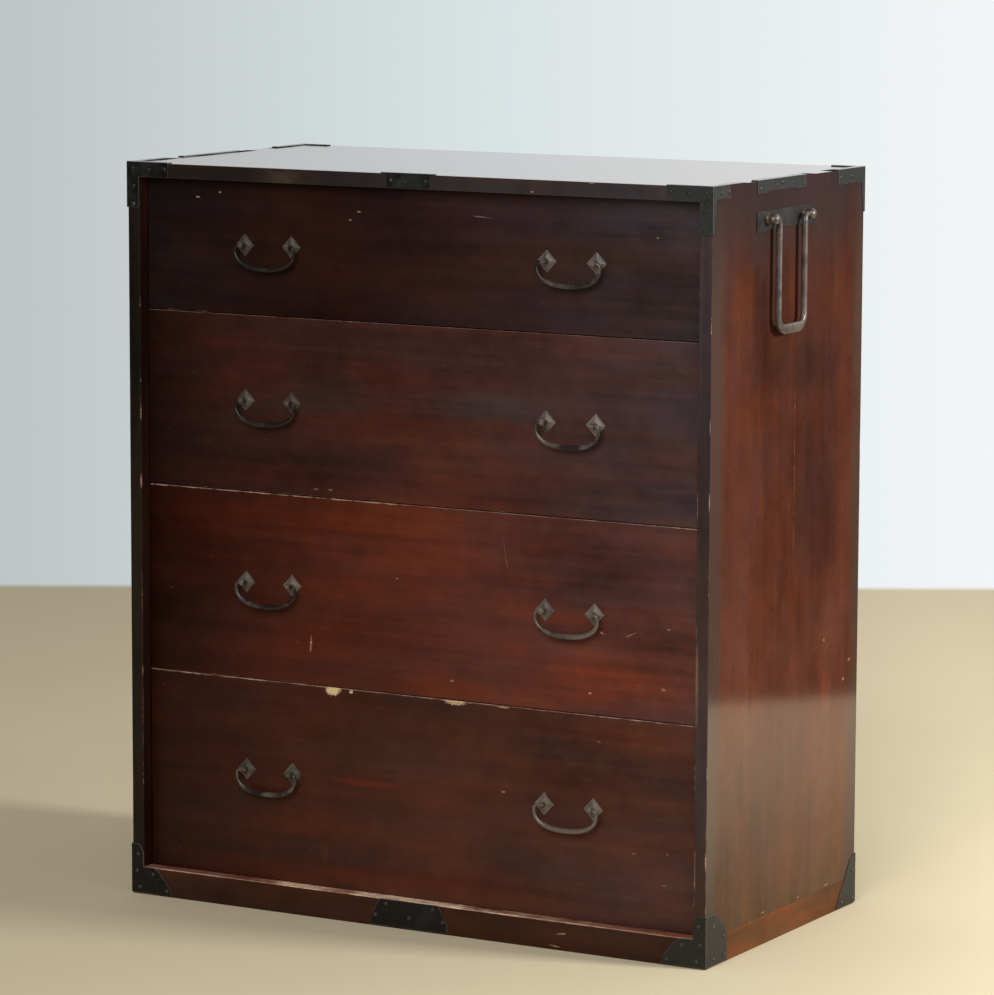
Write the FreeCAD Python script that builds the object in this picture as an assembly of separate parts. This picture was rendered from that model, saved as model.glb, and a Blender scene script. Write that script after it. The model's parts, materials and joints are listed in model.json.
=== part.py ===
import FreeCAD, Part
import os
from math import cos, pi, sin, sqrt

V = FreeCAD.Vector

# Case: outer width and depth, the boards it is made of, and how far each one is let into the next.
CASE_WIDTH = 920.0
CASE_DEPTH = 465.0
TOP_THICKNESS = 20.0
SIDE_THICKNESS = 19.0
STILE_DEPTH = 20.0
SHELF_THICKNESS = 12.0
SHELF_HOUSING = 5.0
BACK_THICKNESS = 9.0
BACK_REBATE = 8.0
BACK_BOARD_COUNT = 5
BACK_BOARD_LAP = 8.0
TOP_FINGER_COUNT = 9

# Base frame: four rails, halved over each other at the corners.
BASE_HEIGHT = 40.0
BASE_RAIL_WIDTH = 45.0

# Drawers: the height of front that each one fills, from the top down, and the boards of the box.
DRAWER_HEIGHTS = (187.0, 248.5, 266.0, 286.5)
DRAWER_FRONT_THICKNESS = 18.0
DRAWER_WALL_THICKNESS = 10.0
DRAWER_BOTTOM_THICKNESS = 7.0
DRAWER_BOTTOM_GROOVE = 8.0
DRAWER_FINGER_DEPTH = 10.0
DRAWER_FINGER_COUNT = 5

# Room that the drawers need to run in.
FRONT_GAP = 1.6
FRONT_STOP_GAP = 0.5
DRAWER_SIDE_GAP = 1.2
DRAWER_TOP_GAP = 3.0
DRAWER_BACK_GAP = 8.0
RUNNING_GAP = 0.3

# Drawer pulls: two bails to a drawer, each hung from two eyes over diamond rosettes.
PULL_SPACING = 480.0
PULL_HEIGHT_SHARES = (0.52, 0.517, 0.517, 0.546)
EYE_SPACING = 76.0
EYE_WIDTH = 6.0
EYE_STRAP = 1.6
EYE_CLINCH = 10.0
EYE_FIT = 0.1
PIVOT_STANDOFF = 11.0
ROSETTE_WIDTH = 30.0
ROSETTE_HEIGHT = 32.0
ROSETTE_RIM = 0.9
ROSETTE_RISE = 2.0
ROSETTE_STEP_SHARE = 0.84
ROSETTE_FLAT_SHARE = 0.34
BAIL_WIDTH = 101.0
BAIL_DROP = 32.0
BAIL_BEND = 5.0
BAIL_PIN_LENGTH = 9.0
BAIL_PIN_RADIUS = 2.2
BAIL_MIDDLE_RADIUS = 3.7
BAIL_SQUARENESS_SHARE = 2.4
PIN_CLEARANCE = 0.1

# Carrying handles: a long bail on each side, hung from two round studs through a plate.
HANDLE_FORWARD = 16.0
HANDLE_BELOW_TOP = 51.5
HANDLE_PLATE_LENGTH = 176.0
HANDLE_PLATE_HEIGHT = 25.0
HANDLE_PLATE_ABOVE = 11.0
HANDLE_PLATE_THICKNESS = 1.8
HANDLE_PLATE_FOOT = 36.0
HANDLE_PLATE_FOOT_DROP = 3.0
HANDLE_PLATE_FOOT_SLOPE = 6.0
STUD_SPACING = 112.0
STUD_RADIUS = 7.5
STUD_LENGTH = 19.0
STUD_DOME = 4.5
STUD_DOME_SHARES = (0.55, 0.93)
STUD_FACETS = 12
STUD_TANG_WIDTH = 7.0
STUD_TANG_LENGTH = 14.0
STUD_FIT = 0.1
HANDLE_STANDOFF = 10.5
HANDLE_LEG_SPACING = 78.0
HANDLE_DROP = 158.0
HANDLE_BEND = 9.0
HANDLE_CORNER = 17.0
HANDLE_PIN_RADIUS = 3.5
HANDLE_PIN_END = 2.5
HANDLE_ROD_RADIUS = 4.4
HANDLE_BAR_HALF_HEIGHT = 7.0
HANDLE_BAR_HALF_THICKNESS = 3.6
FORGED_FACETS = 8

# Sheet irons: thickness, and the lengths of the leaves on each corner and edge.
IRON_THICKNESS = 1.5
IRON_FLOOR_GAP = 2.0
TOP_LEAF_WIDTH = 9.0
TOP_FRONT_LENGTH = 68.0
TOP_FRONT_DROP = 63.0
TOP_SIDE_LENGTH = 50.0
TOP_SIDE_HEIGHT = 17.0
TOP_SIDE_STRIP = 9.0
TOP_SIDE_STRIP_END = 4.0
TOP_EDGE_RUN = 88.0
REAR_BACK_LENGTH = 47.0
REAR_SIDE_LENGTH = 85.0
REAR_SIDE_DROP = 62.0
EDGE_IRON_LENGTH = 149.0
EDGE_IRON_FORWARD = 12.0
EDGE_IRON_HEIGHT = 17.0
EDGE_IRON_MIDDLE_HEIGHT = 15.0
EDGE_IRON_FOOT = 34.0
CENTRE_PLATE_LENGTH = 67.0
CENTRE_PLATE_EAR = 10.5
CENTRE_PLATE_SHIFT = 2.5
CENTRE_PLATE_HEIGHT = 18.0
CENTRE_PLATE_HOLE_RADIUS = 2.2
CENTRE_PLATE_HOLE_SHIFT = 5.0
CENTRE_PLATE_HOLE_DEPTH = 8.5
BASE_FRONT_LENGTH = 66.0
BASE_FRONT_FOOT = 9.0
BASE_FRONT_TOP_LENGTH = 38.0
BASE_STILE_RISE = 73.0
BASE_STILE_SHOULDER = 60.0
BASE_STILE_TOP_LENGTH = 11.0
BASE_SIDE_LENGTH = 61.0
BASE_SIDE_END_HEIGHT = 43.0
BASE_SIDE_TOP_LENGTH = 22.0
BASE_REAR_LENGTH = 61.0
BASE_REAR_TOP_LENGTH = 14.0
BASE_REAR_HEIGHT = 67.0
BASE_PLATE_HALF_LENGTH = 61.5
BASE_PLATE_HALF_TOP = 46.0
BASE_PLATE_SHOULDER = 12.0
SWEEP_BULGE_SHARE = 0.45
CURVE_STEPS = 4

# Nails: low hammered heads, placed as shares of the leaf that each one holds.
NAIL_RADIUS = 3.0
NAIL_HEIGHT = 1.3
NAIL_CROWN_SHARE = 0.5
NAIL_FACETS = 6
TOP_FRONT_NAIL_SHARES = ((0.13, 0.12), (0.52, 0.15), (0.91, 0.12), (0.15, 0.52), (0.15, 0.92))
TOP_SIDE_NAIL_SHARES = ((0.45, 0.5), (0.88, 0.5))
REAR_BACK_NAIL_SHARES = ((0.2, 0.5), (0.8, 0.5))
REAR_SIDE_NAIL_SHARES = ((0.5, 0.5), (0.92, 0.5))
EDGE_NAIL_SHARES = ((0.06, 0.62), (0.5, 0.3), (0.94, 0.62))
CENTRE_NAIL_SHARES = ((0.1, 0.5), (0.9, 0.5))
BASE_FRONT_NAIL_SHARES = ((0.19, 0.14), (0.88, 0.12), (0.53, 0.42), (0.12, 0.46), (0.15, 0.8))
BASE_SIDE_NAIL_SHARES = ((0.34, 0.15), (0.86, 0.16), (0.85, 0.5), (0.34, 0.75))
BASE_REAR_NAIL_SHARES = ((0.14, 0.14), (0.72, 0.14), (0.14, 0.74))
BASE_PLATE_NAIL_SHARES = ((0.06, 0.42), (0.19, 0.84), (0.5, 0.42), (0.8, 0.84), (0.94, 0.4))

# Spare length that lets a cutting tool run out past the wood.
OVERRUN = 1.0

# How far four corners may be from one plane, as a share of their spacing, and still carry one flat face.
FLATNESS = 1e-9

# Places that follow from the sizes above.
HALF_WIDTH = CASE_WIDTH / 2
FRONT_Y = -CASE_DEPTH / 2
BACK_Y = CASE_DEPTH / 2
OPENING_HALF = HALF_WIDTH - SIDE_THICKNESS
TOP_UNDERSIDE = BASE_HEIGHT + sum(DRAWER_HEIGHTS)
CASE_HEIGHT = TOP_UNDERSIDE + TOP_THICKNESS
DRAWER_FACE_Y = FRONT_Y + STILE_DEPTH
DRAWER_BACK_FACE_Y = DRAWER_FACE_Y + DRAWER_FRONT_THICKNESS
SHELF_FRONT_Y = DRAWER_BACK_FACE_Y + FRONT_STOP_GAP
SHELF_BACK_Y = BACK_Y - BACK_THICKNESS
DRAWER_REAR_Y = SHELF_BACK_Y - DRAWER_BACK_GAP
DRAWER_HALF = OPENING_HALF - DRAWER_SIDE_GAP
SEAMS = [TOP_UNDERSIDE - sum(DRAWER_HEIGHTS[:count]) for count in range(len(DRAWER_HEIGHTS) + 1)]
PIN_HOLE_RADIUS = BAIL_PIN_RADIUS + PIN_CLEARANCE
HANDLE_HOLE_RADIUS = HANDLE_PIN_RADIUS + PIN_CLEARANCE
EDGE_IRON_START = CASE_DEPTH / 2 - HANDLE_FORWARD - EDGE_IRON_FORWARD - EDGE_IRON_LENGTH / 2
EDGE_IRON_END = EDGE_IRON_START + EDGE_IRON_LENGTH


def block(low, high):
    """A plain rectangular board between two opposite corners."""
    return Part.makeBox(high[0] - low[0], high[1] - low[1], high[2] - low[2], V(*low))


def flat(corners):
    """The flat face between corners listed in order."""
    return Part.Face(Part.makePolygon(corners + corners[:1]))


def skin(a, b, c, d):
    """The faces between four corners: one if they lie in a plane, otherwise two triangles."""
    off_plane = (b - a).cross(d - a).dot(c - a)
    if abs(off_plane) < FLATNESS * (b - a).Length * (d - a).Length * (c - a).Length:
        return [flat([a, b, c, d])]
    return [flat([a, b, c]), flat([a, c, d])]


def facetted(rings):
    """A solid as a hammer leaves it: flat facets between rings of as many points, with flat ends."""
    faces = [flat(rings[0]), flat(rings[-1])]
    for low, high in zip(rings, rings[1:]):
        for at in range(len(low)):
            after = (at + 1) % len(low)
            faces += skin(low[at], low[after], high[after], high[at])
    return Part.Solid(Part.Shell(faces))


def ring(centre, across, up, radius, count):
    """Points evenly spaced round a circle."""
    turns = [2 * pi * (at + 0.5) / count for at in range(count)]
    return [centre + across * (radius * cos(turn)) + up * (radius * sin(turn)) for turn in turns]


def left_hand(shape):
    """The left-hand twin of a piece made for the right-hand side."""
    return shape.mirror(V(0, 0, 0), V(1, 0, 0))


def finger_spans(low, high, count, first):
    """Every second share of a joint that is cut into equal fingers, from the one numbered first."""
    width = (high - low) / count
    return [(low + width * at, low + width * (at + 1)) for at in range(first, count, 2)]


# Carcass

def top_panel():
    """The top board, with the fingers that lock it to both sides."""
    panel = block((-HALF_WIDTH, FRONT_Y, TOP_UNDERSIDE), (HALF_WIDTH, BACK_Y, CASE_HEIGHT))
    for start, end in finger_spans(FRONT_Y, BACK_Y, TOP_FINGER_COUNT, 1):
        notch = block((OPENING_HALF, start, TOP_UNDERSIDE - OVERRUN),
                      (HALF_WIDTH + OVERRUN, end, CASE_HEIGHT + OVERRUN))
        panel = panel.cut([notch, left_hand(notch)])
    return panel


def side_panel():
    """The right-hand side: fingers at its top, housings for the shelves, a rebate for the back boards."""
    panel = block((OPENING_HALF, DRAWER_FACE_Y, BASE_HEIGHT), (HALF_WIDTH, BACK_Y, TOP_UNDERSIDE))
    fingers = [block((OPENING_HALF, start, TOP_UNDERSIDE), (HALF_WIDTH, end, CASE_HEIGHT))
               for start, end in finger_spans(FRONT_Y, BACK_Y, TOP_FINGER_COUNT, 1)]
    panel = panel.fuse(fingers)
    housings = [block((OPENING_HALF - OVERRUN, SHELF_FRONT_Y, seam),
                      (OPENING_HALF + SHELF_HOUSING, SHELF_BACK_Y, seam + SHELF_THICKNESS))
                for seam in SEAMS[1:]]
    rebate = block((OPENING_HALF - OVERRUN, SHELF_BACK_Y, BASE_HEIGHT - OVERRUN),
                   (OPENING_HALF + BACK_REBATE, BACK_Y + OVERRUN, TOP_UNDERSIDE))
    panel = panel.cut(housings + [rebate])
    mortises = [tang(y, -STUD_TANG_LENGTH - STUD_FIT, OVERRUN, STUD_FIT) for y in stud_places()]
    return panel.cut(mortises).removeSplitter()


def front_stile():
    """The right-hand strip that edges the side and hides the ends of the drawer fronts."""
    return block((OPENING_HALF, FRONT_Y, BASE_HEIGHT), (HALF_WIDTH, DRAWER_FACE_Y, TOP_UNDERSIDE))


def shelf(seam):
    """A board housed in both sides; the drawer below it closes under it and the one above it runs on it."""
    reach = OPENING_HALF + SHELF_HOUSING
    return block((-reach, SHELF_FRONT_Y, seam), (reach, SHELF_BACK_Y, seam + SHELF_THICKNESS))


def back_boards():
    """Upright back boards, lapped half over each other and let into the sides."""
    reach = OPENING_HALF + BACK_REBATE
    pitch = 2 * reach / BACK_BOARD_COUNT
    middle = (SHELF_BACK_Y + BACK_Y) / 2
    boards = []
    for at in range(BACK_BOARD_COUNT):
        left = -reach + pitch * at
        right = left + pitch
        lap_left = left - BACK_BOARD_LAP if at else left
        lap_right = right - BACK_BOARD_LAP if at < BACK_BOARD_COUNT - 1 else right
        inner = block((left, SHELF_BACK_Y, BASE_HEIGHT), (right, middle, TOP_UNDERSIDE))
        outer = block((lap_left, middle, BASE_HEIGHT), (lap_right, BACK_Y, TOP_UNDERSIDE))
        boards.append(inner.fuse(outer).removeSplitter())
    return Part.makeCompound(boards)


def base_rail_front():
    """The front rail of the base, halved at both ends so that it lies over the side rails."""
    rail = block((-HALF_WIDTH, FRONT_Y, 0), (HALF_WIDTH, FRONT_Y + BASE_RAIL_WIDTH, BASE_HEIGHT))
    halving = block((HALF_WIDTH - BASE_RAIL_WIDTH, FRONT_Y - OVERRUN, -OVERRUN),
                    (HALF_WIDTH + OVERRUN, FRONT_Y + BASE_RAIL_WIDTH + OVERRUN, BASE_HEIGHT / 2))
    return rail.cut([halving, left_hand(halving)])


def base_rail_side():
    """The right-hand rail of the base, halved at both ends so that it lies under the others."""
    rail = block((HALF_WIDTH - BASE_RAIL_WIDTH, FRONT_Y, 0), (HALF_WIDTH, BACK_Y, BASE_HEIGHT))
    halving = block((HALF_WIDTH - BASE_RAIL_WIDTH - OVERRUN, FRONT_Y - OVERRUN, BASE_HEIGHT / 2),
                    (HALF_WIDTH + OVERRUN, FRONT_Y + BASE_RAIL_WIDTH, BASE_HEIGHT + OVERRUN))
    return rail.cut([halving, halving.mirror(V(0, 0, 0), V(0, 1, 0))])


# Drawers

def drawer_levels(number):
    """Heights of one drawer: the underside of its box and the top edge of its box."""
    return SEAMS[number + 1] + SHELF_THICKNESS + RUNNING_GAP, SEAMS[number] - DRAWER_TOP_GAP


def drawer_fingers(number, first):
    """Places up the corner of a drawer of every second finger of its joints."""
    underside, top_edge = drawer_levels(number)
    return finger_spans(underside + DRAWER_BOTTOM_THICKNESS, top_edge, DRAWER_FINGER_COUNT, first)


def drawer_front(number):
    """The front board, socketed behind for the sides, grooved for the bottom and slotted for the eyes."""
    front = block((-DRAWER_HALF, DRAWER_FACE_Y, SEAMS[number + 1] + FRONT_GAP / 2),
                  (DRAWER_HALF, DRAWER_BACK_FACE_Y, SEAMS[number] - FRONT_GAP / 2))
    underside = drawer_levels(number)[0]
    cuts = [block((-DRAWER_HALF - OVERRUN, DRAWER_BACK_FACE_Y - DRAWER_BOTTOM_GROOVE, underside),
                  (DRAWER_HALF + OVERRUN, DRAWER_BACK_FACE_Y + OVERRUN, underside + DRAWER_BOTTOM_THICKNESS))]
    for start, end in drawer_fingers(number, 0):
        socket = block((DRAWER_HALF - DRAWER_WALL_THICKNESS, DRAWER_BACK_FACE_Y - DRAWER_FINGER_DEPTH, start),
                       (DRAWER_HALF + OVERRUN, DRAWER_BACK_FACE_Y + OVERRUN, end))
        cuts += [socket, left_hand(socket)]
    for x in eye_places():
        cuts.append(eye_slot(x, pull_z(number), DRAWER_FACE_Y - OVERRUN, DRAWER_BACK_FACE_Y + OVERRUN))
    return front.cut(cuts)


def drawer_side(number):
    """The right-hand side, with fingers into the front and notches for the fingers of the back."""
    underside, top_edge = drawer_levels(number)
    inner = DRAWER_HALF - DRAWER_WALL_THICKNESS
    side = block((inner, DRAWER_BACK_FACE_Y, underside + DRAWER_BOTTOM_THICKNESS),
                 (DRAWER_HALF, DRAWER_REAR_Y, top_edge))
    finger_y = DRAWER_BACK_FACE_Y - DRAWER_FINGER_DEPTH
    fingers = [block((inner, finger_y, start), (DRAWER_HALF, DRAWER_BACK_FACE_Y, end))
               for start, end in drawer_fingers(number, 0)]
    notch_y = DRAWER_REAR_Y - DRAWER_WALL_THICKNESS
    notches = [block((inner - OVERRUN, notch_y, start), (DRAWER_HALF + OVERRUN, DRAWER_REAR_Y + OVERRUN, end))
               for start, end in drawer_fingers(number, 1)]
    return side.fuse(fingers).cut(notches).removeSplitter()


def drawer_back(number):
    """The back board, between the sides, with its fingers through them."""
    underside, top_edge = drawer_levels(number)
    inner = DRAWER_HALF - DRAWER_WALL_THICKNESS
    front_y = DRAWER_REAR_Y - DRAWER_WALL_THICKNESS
    back = block((-inner, front_y, underside + DRAWER_BOTTOM_THICKNESS), (inner, DRAWER_REAR_Y, top_edge))
    fingers = [block((inner, front_y, start), (DRAWER_HALF, DRAWER_REAR_Y, end))
               for start, end in drawer_fingers(number, 1)]
    return back.fuse(fingers + [left_hand(finger) for finger in fingers]).removeSplitter()


def drawer_bottom(number):
    """The bottom board, under the sides and the back and let into the front."""
    underside = drawer_levels(number)[0]
    return block((-DRAWER_HALF, DRAWER_BACK_FACE_Y - DRAWER_BOTTOM_GROOVE, underside),
                 (DRAWER_HALF, DRAWER_REAR_Y, underside + DRAWER_BOTTOM_THICKNESS))


# Drawer pulls

def pull_z(number):
    """Height of the pivots on one drawer."""
    return SEAMS[number + 1] + PULL_HEIGHT_SHARES[number] * DRAWER_HEIGHTS[number]


def pull_places():
    """Middle of the left-hand and right-hand pull."""
    return -PULL_SPACING / 2, PULL_SPACING / 2


def eye_places():
    """Middle of each of the four eyes across a drawer."""
    return [pull + side * EYE_SPACING / 2 for pull in pull_places() for side in (-1, 1)]


def eye_slot(x, z, near, far):
    """The slot that the two legs of an eye pass through."""
    half_width = EYE_WIDTH / 2 + EYE_FIT
    half_height = EYE_STRAP + EYE_FIT
    return block((x - half_width, near, z - half_height), (x + half_width, far, z + half_height))


def diamond(x, y, z, share):
    """The four corners of a rosette, at a share of its full size."""
    half_width = share * ROSETTE_WIDTH / 2
    half_height = share * ROSETTE_HEIGHT / 2
    corners = ((half_width, 0), (0, half_height), (-half_width, 0), (0, -half_height))
    return [V(x + across, y, z + up) for across, up in corners]


def rosette(x, z):
    """A diamond of sheet iron, raised to a low pyramid inside a flat rim, with a slot for the eye."""
    rim_y = DRAWER_FACE_Y - ROSETTE_RIM
    rim = flat(diamond(x, DRAWER_FACE_Y, z, 1)).extrude(V(0, -ROSETTE_RIM, 0))
    rise = facetted([diamond(x, rim_y, z, ROSETTE_STEP_SHARE),
                     diamond(x, rim_y - ROSETTE_RISE, z, ROSETTE_FLAT_SHARE)])
    slot = eye_slot(x, z, rim_y - ROSETTE_RISE - OVERRUN, DRAWER_FACE_Y + OVERRUN)
    return rim.fuse(rise).cut(slot).removeSplitter()


def eye(x, z):
    """A strap bent round the pin of the bail; its legs go through the front and are clinched behind it."""
    pivot = V(x - EYE_WIDTH / 2, DRAWER_FACE_Y - PIVOT_STANDOFF, z)
    along = V(1, 0, 0)
    corner_radius = (PIN_HOLE_RADIUS + EYE_STRAP) / cos(pi / FORGED_FACETS)
    outside = ring(pivot, V(0, 1, 0), V(0, 0, 1), corner_radius, FORGED_FACETS)
    loop = flat(outside).extrude(along * EYE_WIDTH)
    legs = block((pivot.x, pivot.y, z - EYE_STRAP), (pivot.x + EYE_WIDTH, DRAWER_BACK_FACE_Y, z + EYE_STRAP))
    clinch = block((pivot.x, DRAWER_BACK_FACE_Y, z - EYE_CLINCH),
                   (pivot.x + EYE_WIDTH, DRAWER_BACK_FACE_Y + EYE_STRAP, z + EYE_CLINCH))
    pin_hole = Part.makeCylinder(PIN_HOLE_RADIUS, EYE_WIDTH, pivot, along)
    return loop.fuse([legs, clinch]).cut(pin_hole).removeSplitter()


def drawer_rosettes(number):
    """The four rosettes of a drawer, each with its eye."""
    z = pull_z(number)
    return Part.makeCompound([made(x, z) for x in eye_places() for made in (rosette, eye)])


def forged_bar(stations, pivot, across, out):
    """A forged bar through facetted oval sections that stand square to a flat path.

    A station is its place across and above the pivot, the direction of the path there,
    and the half sizes of the section in the plane of the path and out of it.
    """
    up = V(0, 0, 1)
    rings = []
    for (u, v), (du, dv), half_high, half_thick in stations:
        normal = (up * du - across * dv).normalize()
        centre = pivot + across * u + up * v
        rings.append(ring(centre, normal * half_high, out * half_thick, 1, FORGED_FACETS))
    return facetted(rings)


def both_hands(stations):
    """A symmetric path: the stations of its right-hand half, then the same ones mirrored back to the left."""
    mirrored = []
    for (u, v), (du, dv), half_high, half_thick in reversed(stations[:-1]):
        mirrored.append(((-u, v), (du, -dv), half_high, half_thick))
    return stations + mirrored


def drawer_bail(x, number):
    """A bail like a bracken shoot: pins turned in through the eyes, a squared half oval between them."""
    pin = (BAIL_PIN_RADIUS, BAIL_PIN_RADIUS)
    half = BAIL_WIDTH / 2 - BAIL_PIN_RADIUS
    bend_u = half - BAIL_BEND
    stations = [((EYE_SPACING / 2 - BAIL_PIN_LENGTH / 2, 0), (1, 0), *pin)]
    for step in range(CURVE_STEPS):
        turn = pi / 2 * (1 - step / CURVE_STEPS)
        place = (bend_u + BAIL_BEND * cos(turn), BAIL_BEND * (sin(turn) - 1))
        stations.append((place, (sin(turn), -cos(turn)), *pin))
    power = 2 / BAIL_SQUARENESS_SHARE
    depth = BAIL_DROP - BAIL_BEND
    for step in range(2 * CURVE_STEPS + 1):
        turn = pi / 2 * step / (2 * CURVE_STEPS)
        place = (half * abs(cos(turn)) ** power, -BAIL_BEND - depth * sin(turn) ** power)
        course = (-half * sin(turn) ** (2 - power), -depth * abs(cos(turn)) ** (2 - power))
        radius = BAIL_PIN_RADIUS + (BAIL_MIDDLE_RADIUS - BAIL_PIN_RADIUS) * sin(turn)
        stations.append((place, course, radius, radius))
    pivot = V(x, DRAWER_FACE_Y - PIVOT_STANDOFF, pull_z(number))
    return forged_bar(both_hands(stations), pivot, V(1, 0, 0), V(0, 1, 0))


# Carrying handles

def handle_pivot_z():
    """Height of the pivots of the carrying handles."""
    return CASE_HEIGHT - HANDLE_BELOW_TOP


def stud_places():
    """Middle of the front and the rear stud, across the side."""
    return -HANDLE_FORWARD - STUD_SPACING / 2, -HANDLE_FORWARD + STUD_SPACING / 2


def handle_plate():
    """The plate on the right-hand side: a strip with a deeper foot under each stud."""
    half = HANDLE_PLATE_LENGTH / 2
    top = handle_pivot_z() + HANDLE_PLATE_ABOVE
    bottom = top - HANDLE_PLATE_HEIGHT
    foot = bottom - HANDLE_PLATE_FOOT_DROP
    inner = half - HANDLE_PLATE_FOOT
    slope = inner - HANDLE_PLATE_FOOT_SLOPE
    outline = [(-half, top), (half, top), (half, foot), (inner, foot), (slope, bottom),
               (-slope, bottom), (-inner, foot), (-half, foot)]
    sheet = flat([V(HALF_WIDTH, y - HANDLE_FORWARD, z) for y, z in outline])
    plate = sheet.extrude(V(HANDLE_PLATE_THICKNESS, 0, 0))
    return plate.cut([tang(y, -OVERRUN, HANDLE_PLATE_THICKNESS + OVERRUN, STUD_FIT) for y in stud_places()])


def tang(y, start, end, room):
    """A square bar through the plate and into the side, or with room round it the hole for one."""
    half = STUD_TANG_WIDTH / 2 + room
    return block((HALF_WIDTH + start, y - half, handle_pivot_z() - half),
                 (HALF_WIDTH + end, y + half, handle_pivot_z() + half))


def stud(y):
    """A stud with a domed end, a cross hole for the bail, and a square tang driven into the side."""
    seat = V(HALF_WIDTH, y, handle_pivot_z())
    steps = [(HANDLE_PLATE_THICKNESS, STUD_RADIUS), (STUD_LENGTH - STUD_DOME, STUD_RADIUS)]
    for share in STUD_DOME_SHARES:
        steps.append((STUD_LENGTH - STUD_DOME * (1 - share), STUD_RADIUS * sqrt(1 - share * share)))
    along, up = V(0, 1, 0), V(0, 0, 1)
    body = facetted([ring(seat + V(x, 0, 0), along, up, radius, STUD_FACETS) for x, radius in steps])
    hole_start = seat + V(HANDLE_STANDOFF, -STUD_RADIUS - OVERRUN, 0)
    hole = Part.makeCylinder(HANDLE_HOLE_RADIUS, 2 * (STUD_RADIUS + OVERRUN), hole_start, along)
    return body.fuse(tang(y, -STUD_TANG_LENGTH, HANDLE_PLATE_THICKNESS, 0)).cut(hole)


def side_handle_mount():
    """Plate and studs of the right-hand carrying handle."""
    return Part.makeCompound([handle_plate()] + [stud(y) for y in stud_places()])


def side_bail():
    """The right-hand carrying bail: ends turned out through the studs, long legs, a flat bar to grip."""
    pin = (HANDLE_PIN_RADIUS, HANDLE_PIN_RADIUS)
    rod = (HANDLE_ROD_RADIUS, HANDLE_ROD_RADIUS)
    leg = HANDLE_LEG_SPACING / 2
    stations = [((STUD_SPACING / 2 + STUD_RADIUS + HANDLE_PIN_END, 0), (-1, 0), *pin)]
    for step in range(CURVE_STEPS + 1):
        turn = pi / 2 * (1 + step / CURVE_STEPS)
        place = (leg + HANDLE_BEND * (1 + cos(turn)), HANDLE_BEND * (sin(turn) - 1))
        grown = HANDLE_PIN_RADIUS + (HANDLE_ROD_RADIUS - HANDLE_PIN_RADIUS) * step / CURVE_STEPS
        stations.append((place, (-sin(turn), cos(turn)), grown, grown))
    corner_v = HANDLE_BAR_HALF_HEIGHT + HANDLE_CORNER - HANDLE_DROP
    for step in range(CURVE_STEPS + 1):
        share = step / CURVE_STEPS
        turn = -pi / 2 * share
        place = (leg + HANDLE_CORNER * (cos(turn) - 1), corner_v + HANDLE_CORNER * sin(turn))
        high = rod[0] + (HANDLE_BAR_HALF_HEIGHT - rod[0]) * share
        thick = rod[1] + (HANDLE_BAR_HALF_THICKNESS - rod[1]) * share
        stations.append((place, (sin(turn), -cos(turn)), high, thick))
    bar = (HANDLE_BAR_HALF_HEIGHT, HANDLE_BAR_HALF_THICKNESS)
    stations.append(((0, corner_v - HANDLE_CORNER), (-1, 0), *bar))
    pivot = V(HALF_WIDTH + HANDLE_STANDOFF, -HANDLE_FORWARD, handle_pivot_z())
    return forged_bar(both_hands(stations), pivot, V(0, 1, 0), V(1, 0, 0))


# Sheet irons

class Face:
    """A flat face of the case: a corner, two directions along it and the one that looks out of it."""

    def __init__(self, corner, along, across, outward):
        self.corner = V(*corner)
        self.along = V(*along)
        self.across = V(*across)
        self.outward = V(*outward)

    def point(self, u, v):
        """The place u along and v across the face."""
        return self.corner + self.along * u + self.across * v

    def leaf(self, outline):
        """A sheet of iron of this outline, lying on the face."""
        return flat([self.point(u, v) for u, v in outline]).extrude(self.outward * IRON_THICKNESS)

    def nails(self, shares, length, height):
        """Nail heads on the sheet, at shares of its length and height."""
        turn = FreeCAD.Rotation(V(0, 0, 1), self.outward)
        heads = []
        for u_share, v_share in shares:
            seat = self.point(u_share * length, v_share * height) + self.outward * IRON_THICKNESS
            head = nail_head()
            head.Placement = FreeCAD.Placement(seat, turn)
            heads.append(head)
        return heads


TOP_FRONT_CORNER = (HALF_WIDTH, FRONT_Y, CASE_HEIGHT)
TOP_REAR_CORNER = (HALF_WIDTH, BACK_Y, CASE_HEIGHT)
BASE_FRONT_CORNER = (HALF_WIDTH, FRONT_Y, 0)
BASE_REAR_CORNER = (HALF_WIDTH, BACK_Y, 0)
FRONT_TOP = Face(TOP_FRONT_CORNER, (-1, 0, 0), (0, 0, -1), (0, -1, 0))
SIDE_TOP = Face(TOP_FRONT_CORNER, (0, 1, 0), (0, 0, -1), (1, 0, 0))
LID_FRONT = Face(TOP_FRONT_CORNER, (-1, 0, 0), (0, 1, 0), (0, 0, 1))
BACK_TOP = Face(TOP_REAR_CORNER, (-1, 0, 0), (0, 0, -1), (0, 1, 0))
SIDE_TOP_REAR = Face(TOP_REAR_CORNER, (0, -1, 0), (0, 0, -1), (1, 0, 0))
LID_REAR = Face(TOP_REAR_CORNER, (-1, 0, 0), (0, -1, 0), (0, 0, 1))
FRONT_BASE = Face(BASE_FRONT_CORNER, (-1, 0, 0), (0, 0, 1), (0, -1, 0))
SIDE_BASE = Face(BASE_FRONT_CORNER, (0, 1, 0), (0, 0, 1), (1, 0, 0))
BACK_BASE = Face(BASE_REAR_CORNER, (-1, 0, 0), (0, 0, 1), (0, 1, 0))
SIDE_BASE_REAR = Face(BASE_REAR_CORNER, (0, -1, 0), (0, 0, 1), (1, 0, 0))


def nail_head():
    """A low hammered head that stands on the origin."""
    across, up = V(1, 0, 0), V(0, 1, 0)
    return facetted([ring(V(0, 0, 0), across, up, NAIL_RADIUS, NAIL_FACETS),
                     ring(V(0, 0, NAIL_HEIGHT), across, up, NAIL_RADIUS * NAIL_CROWN_SHARE, NAIL_FACETS)])


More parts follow.
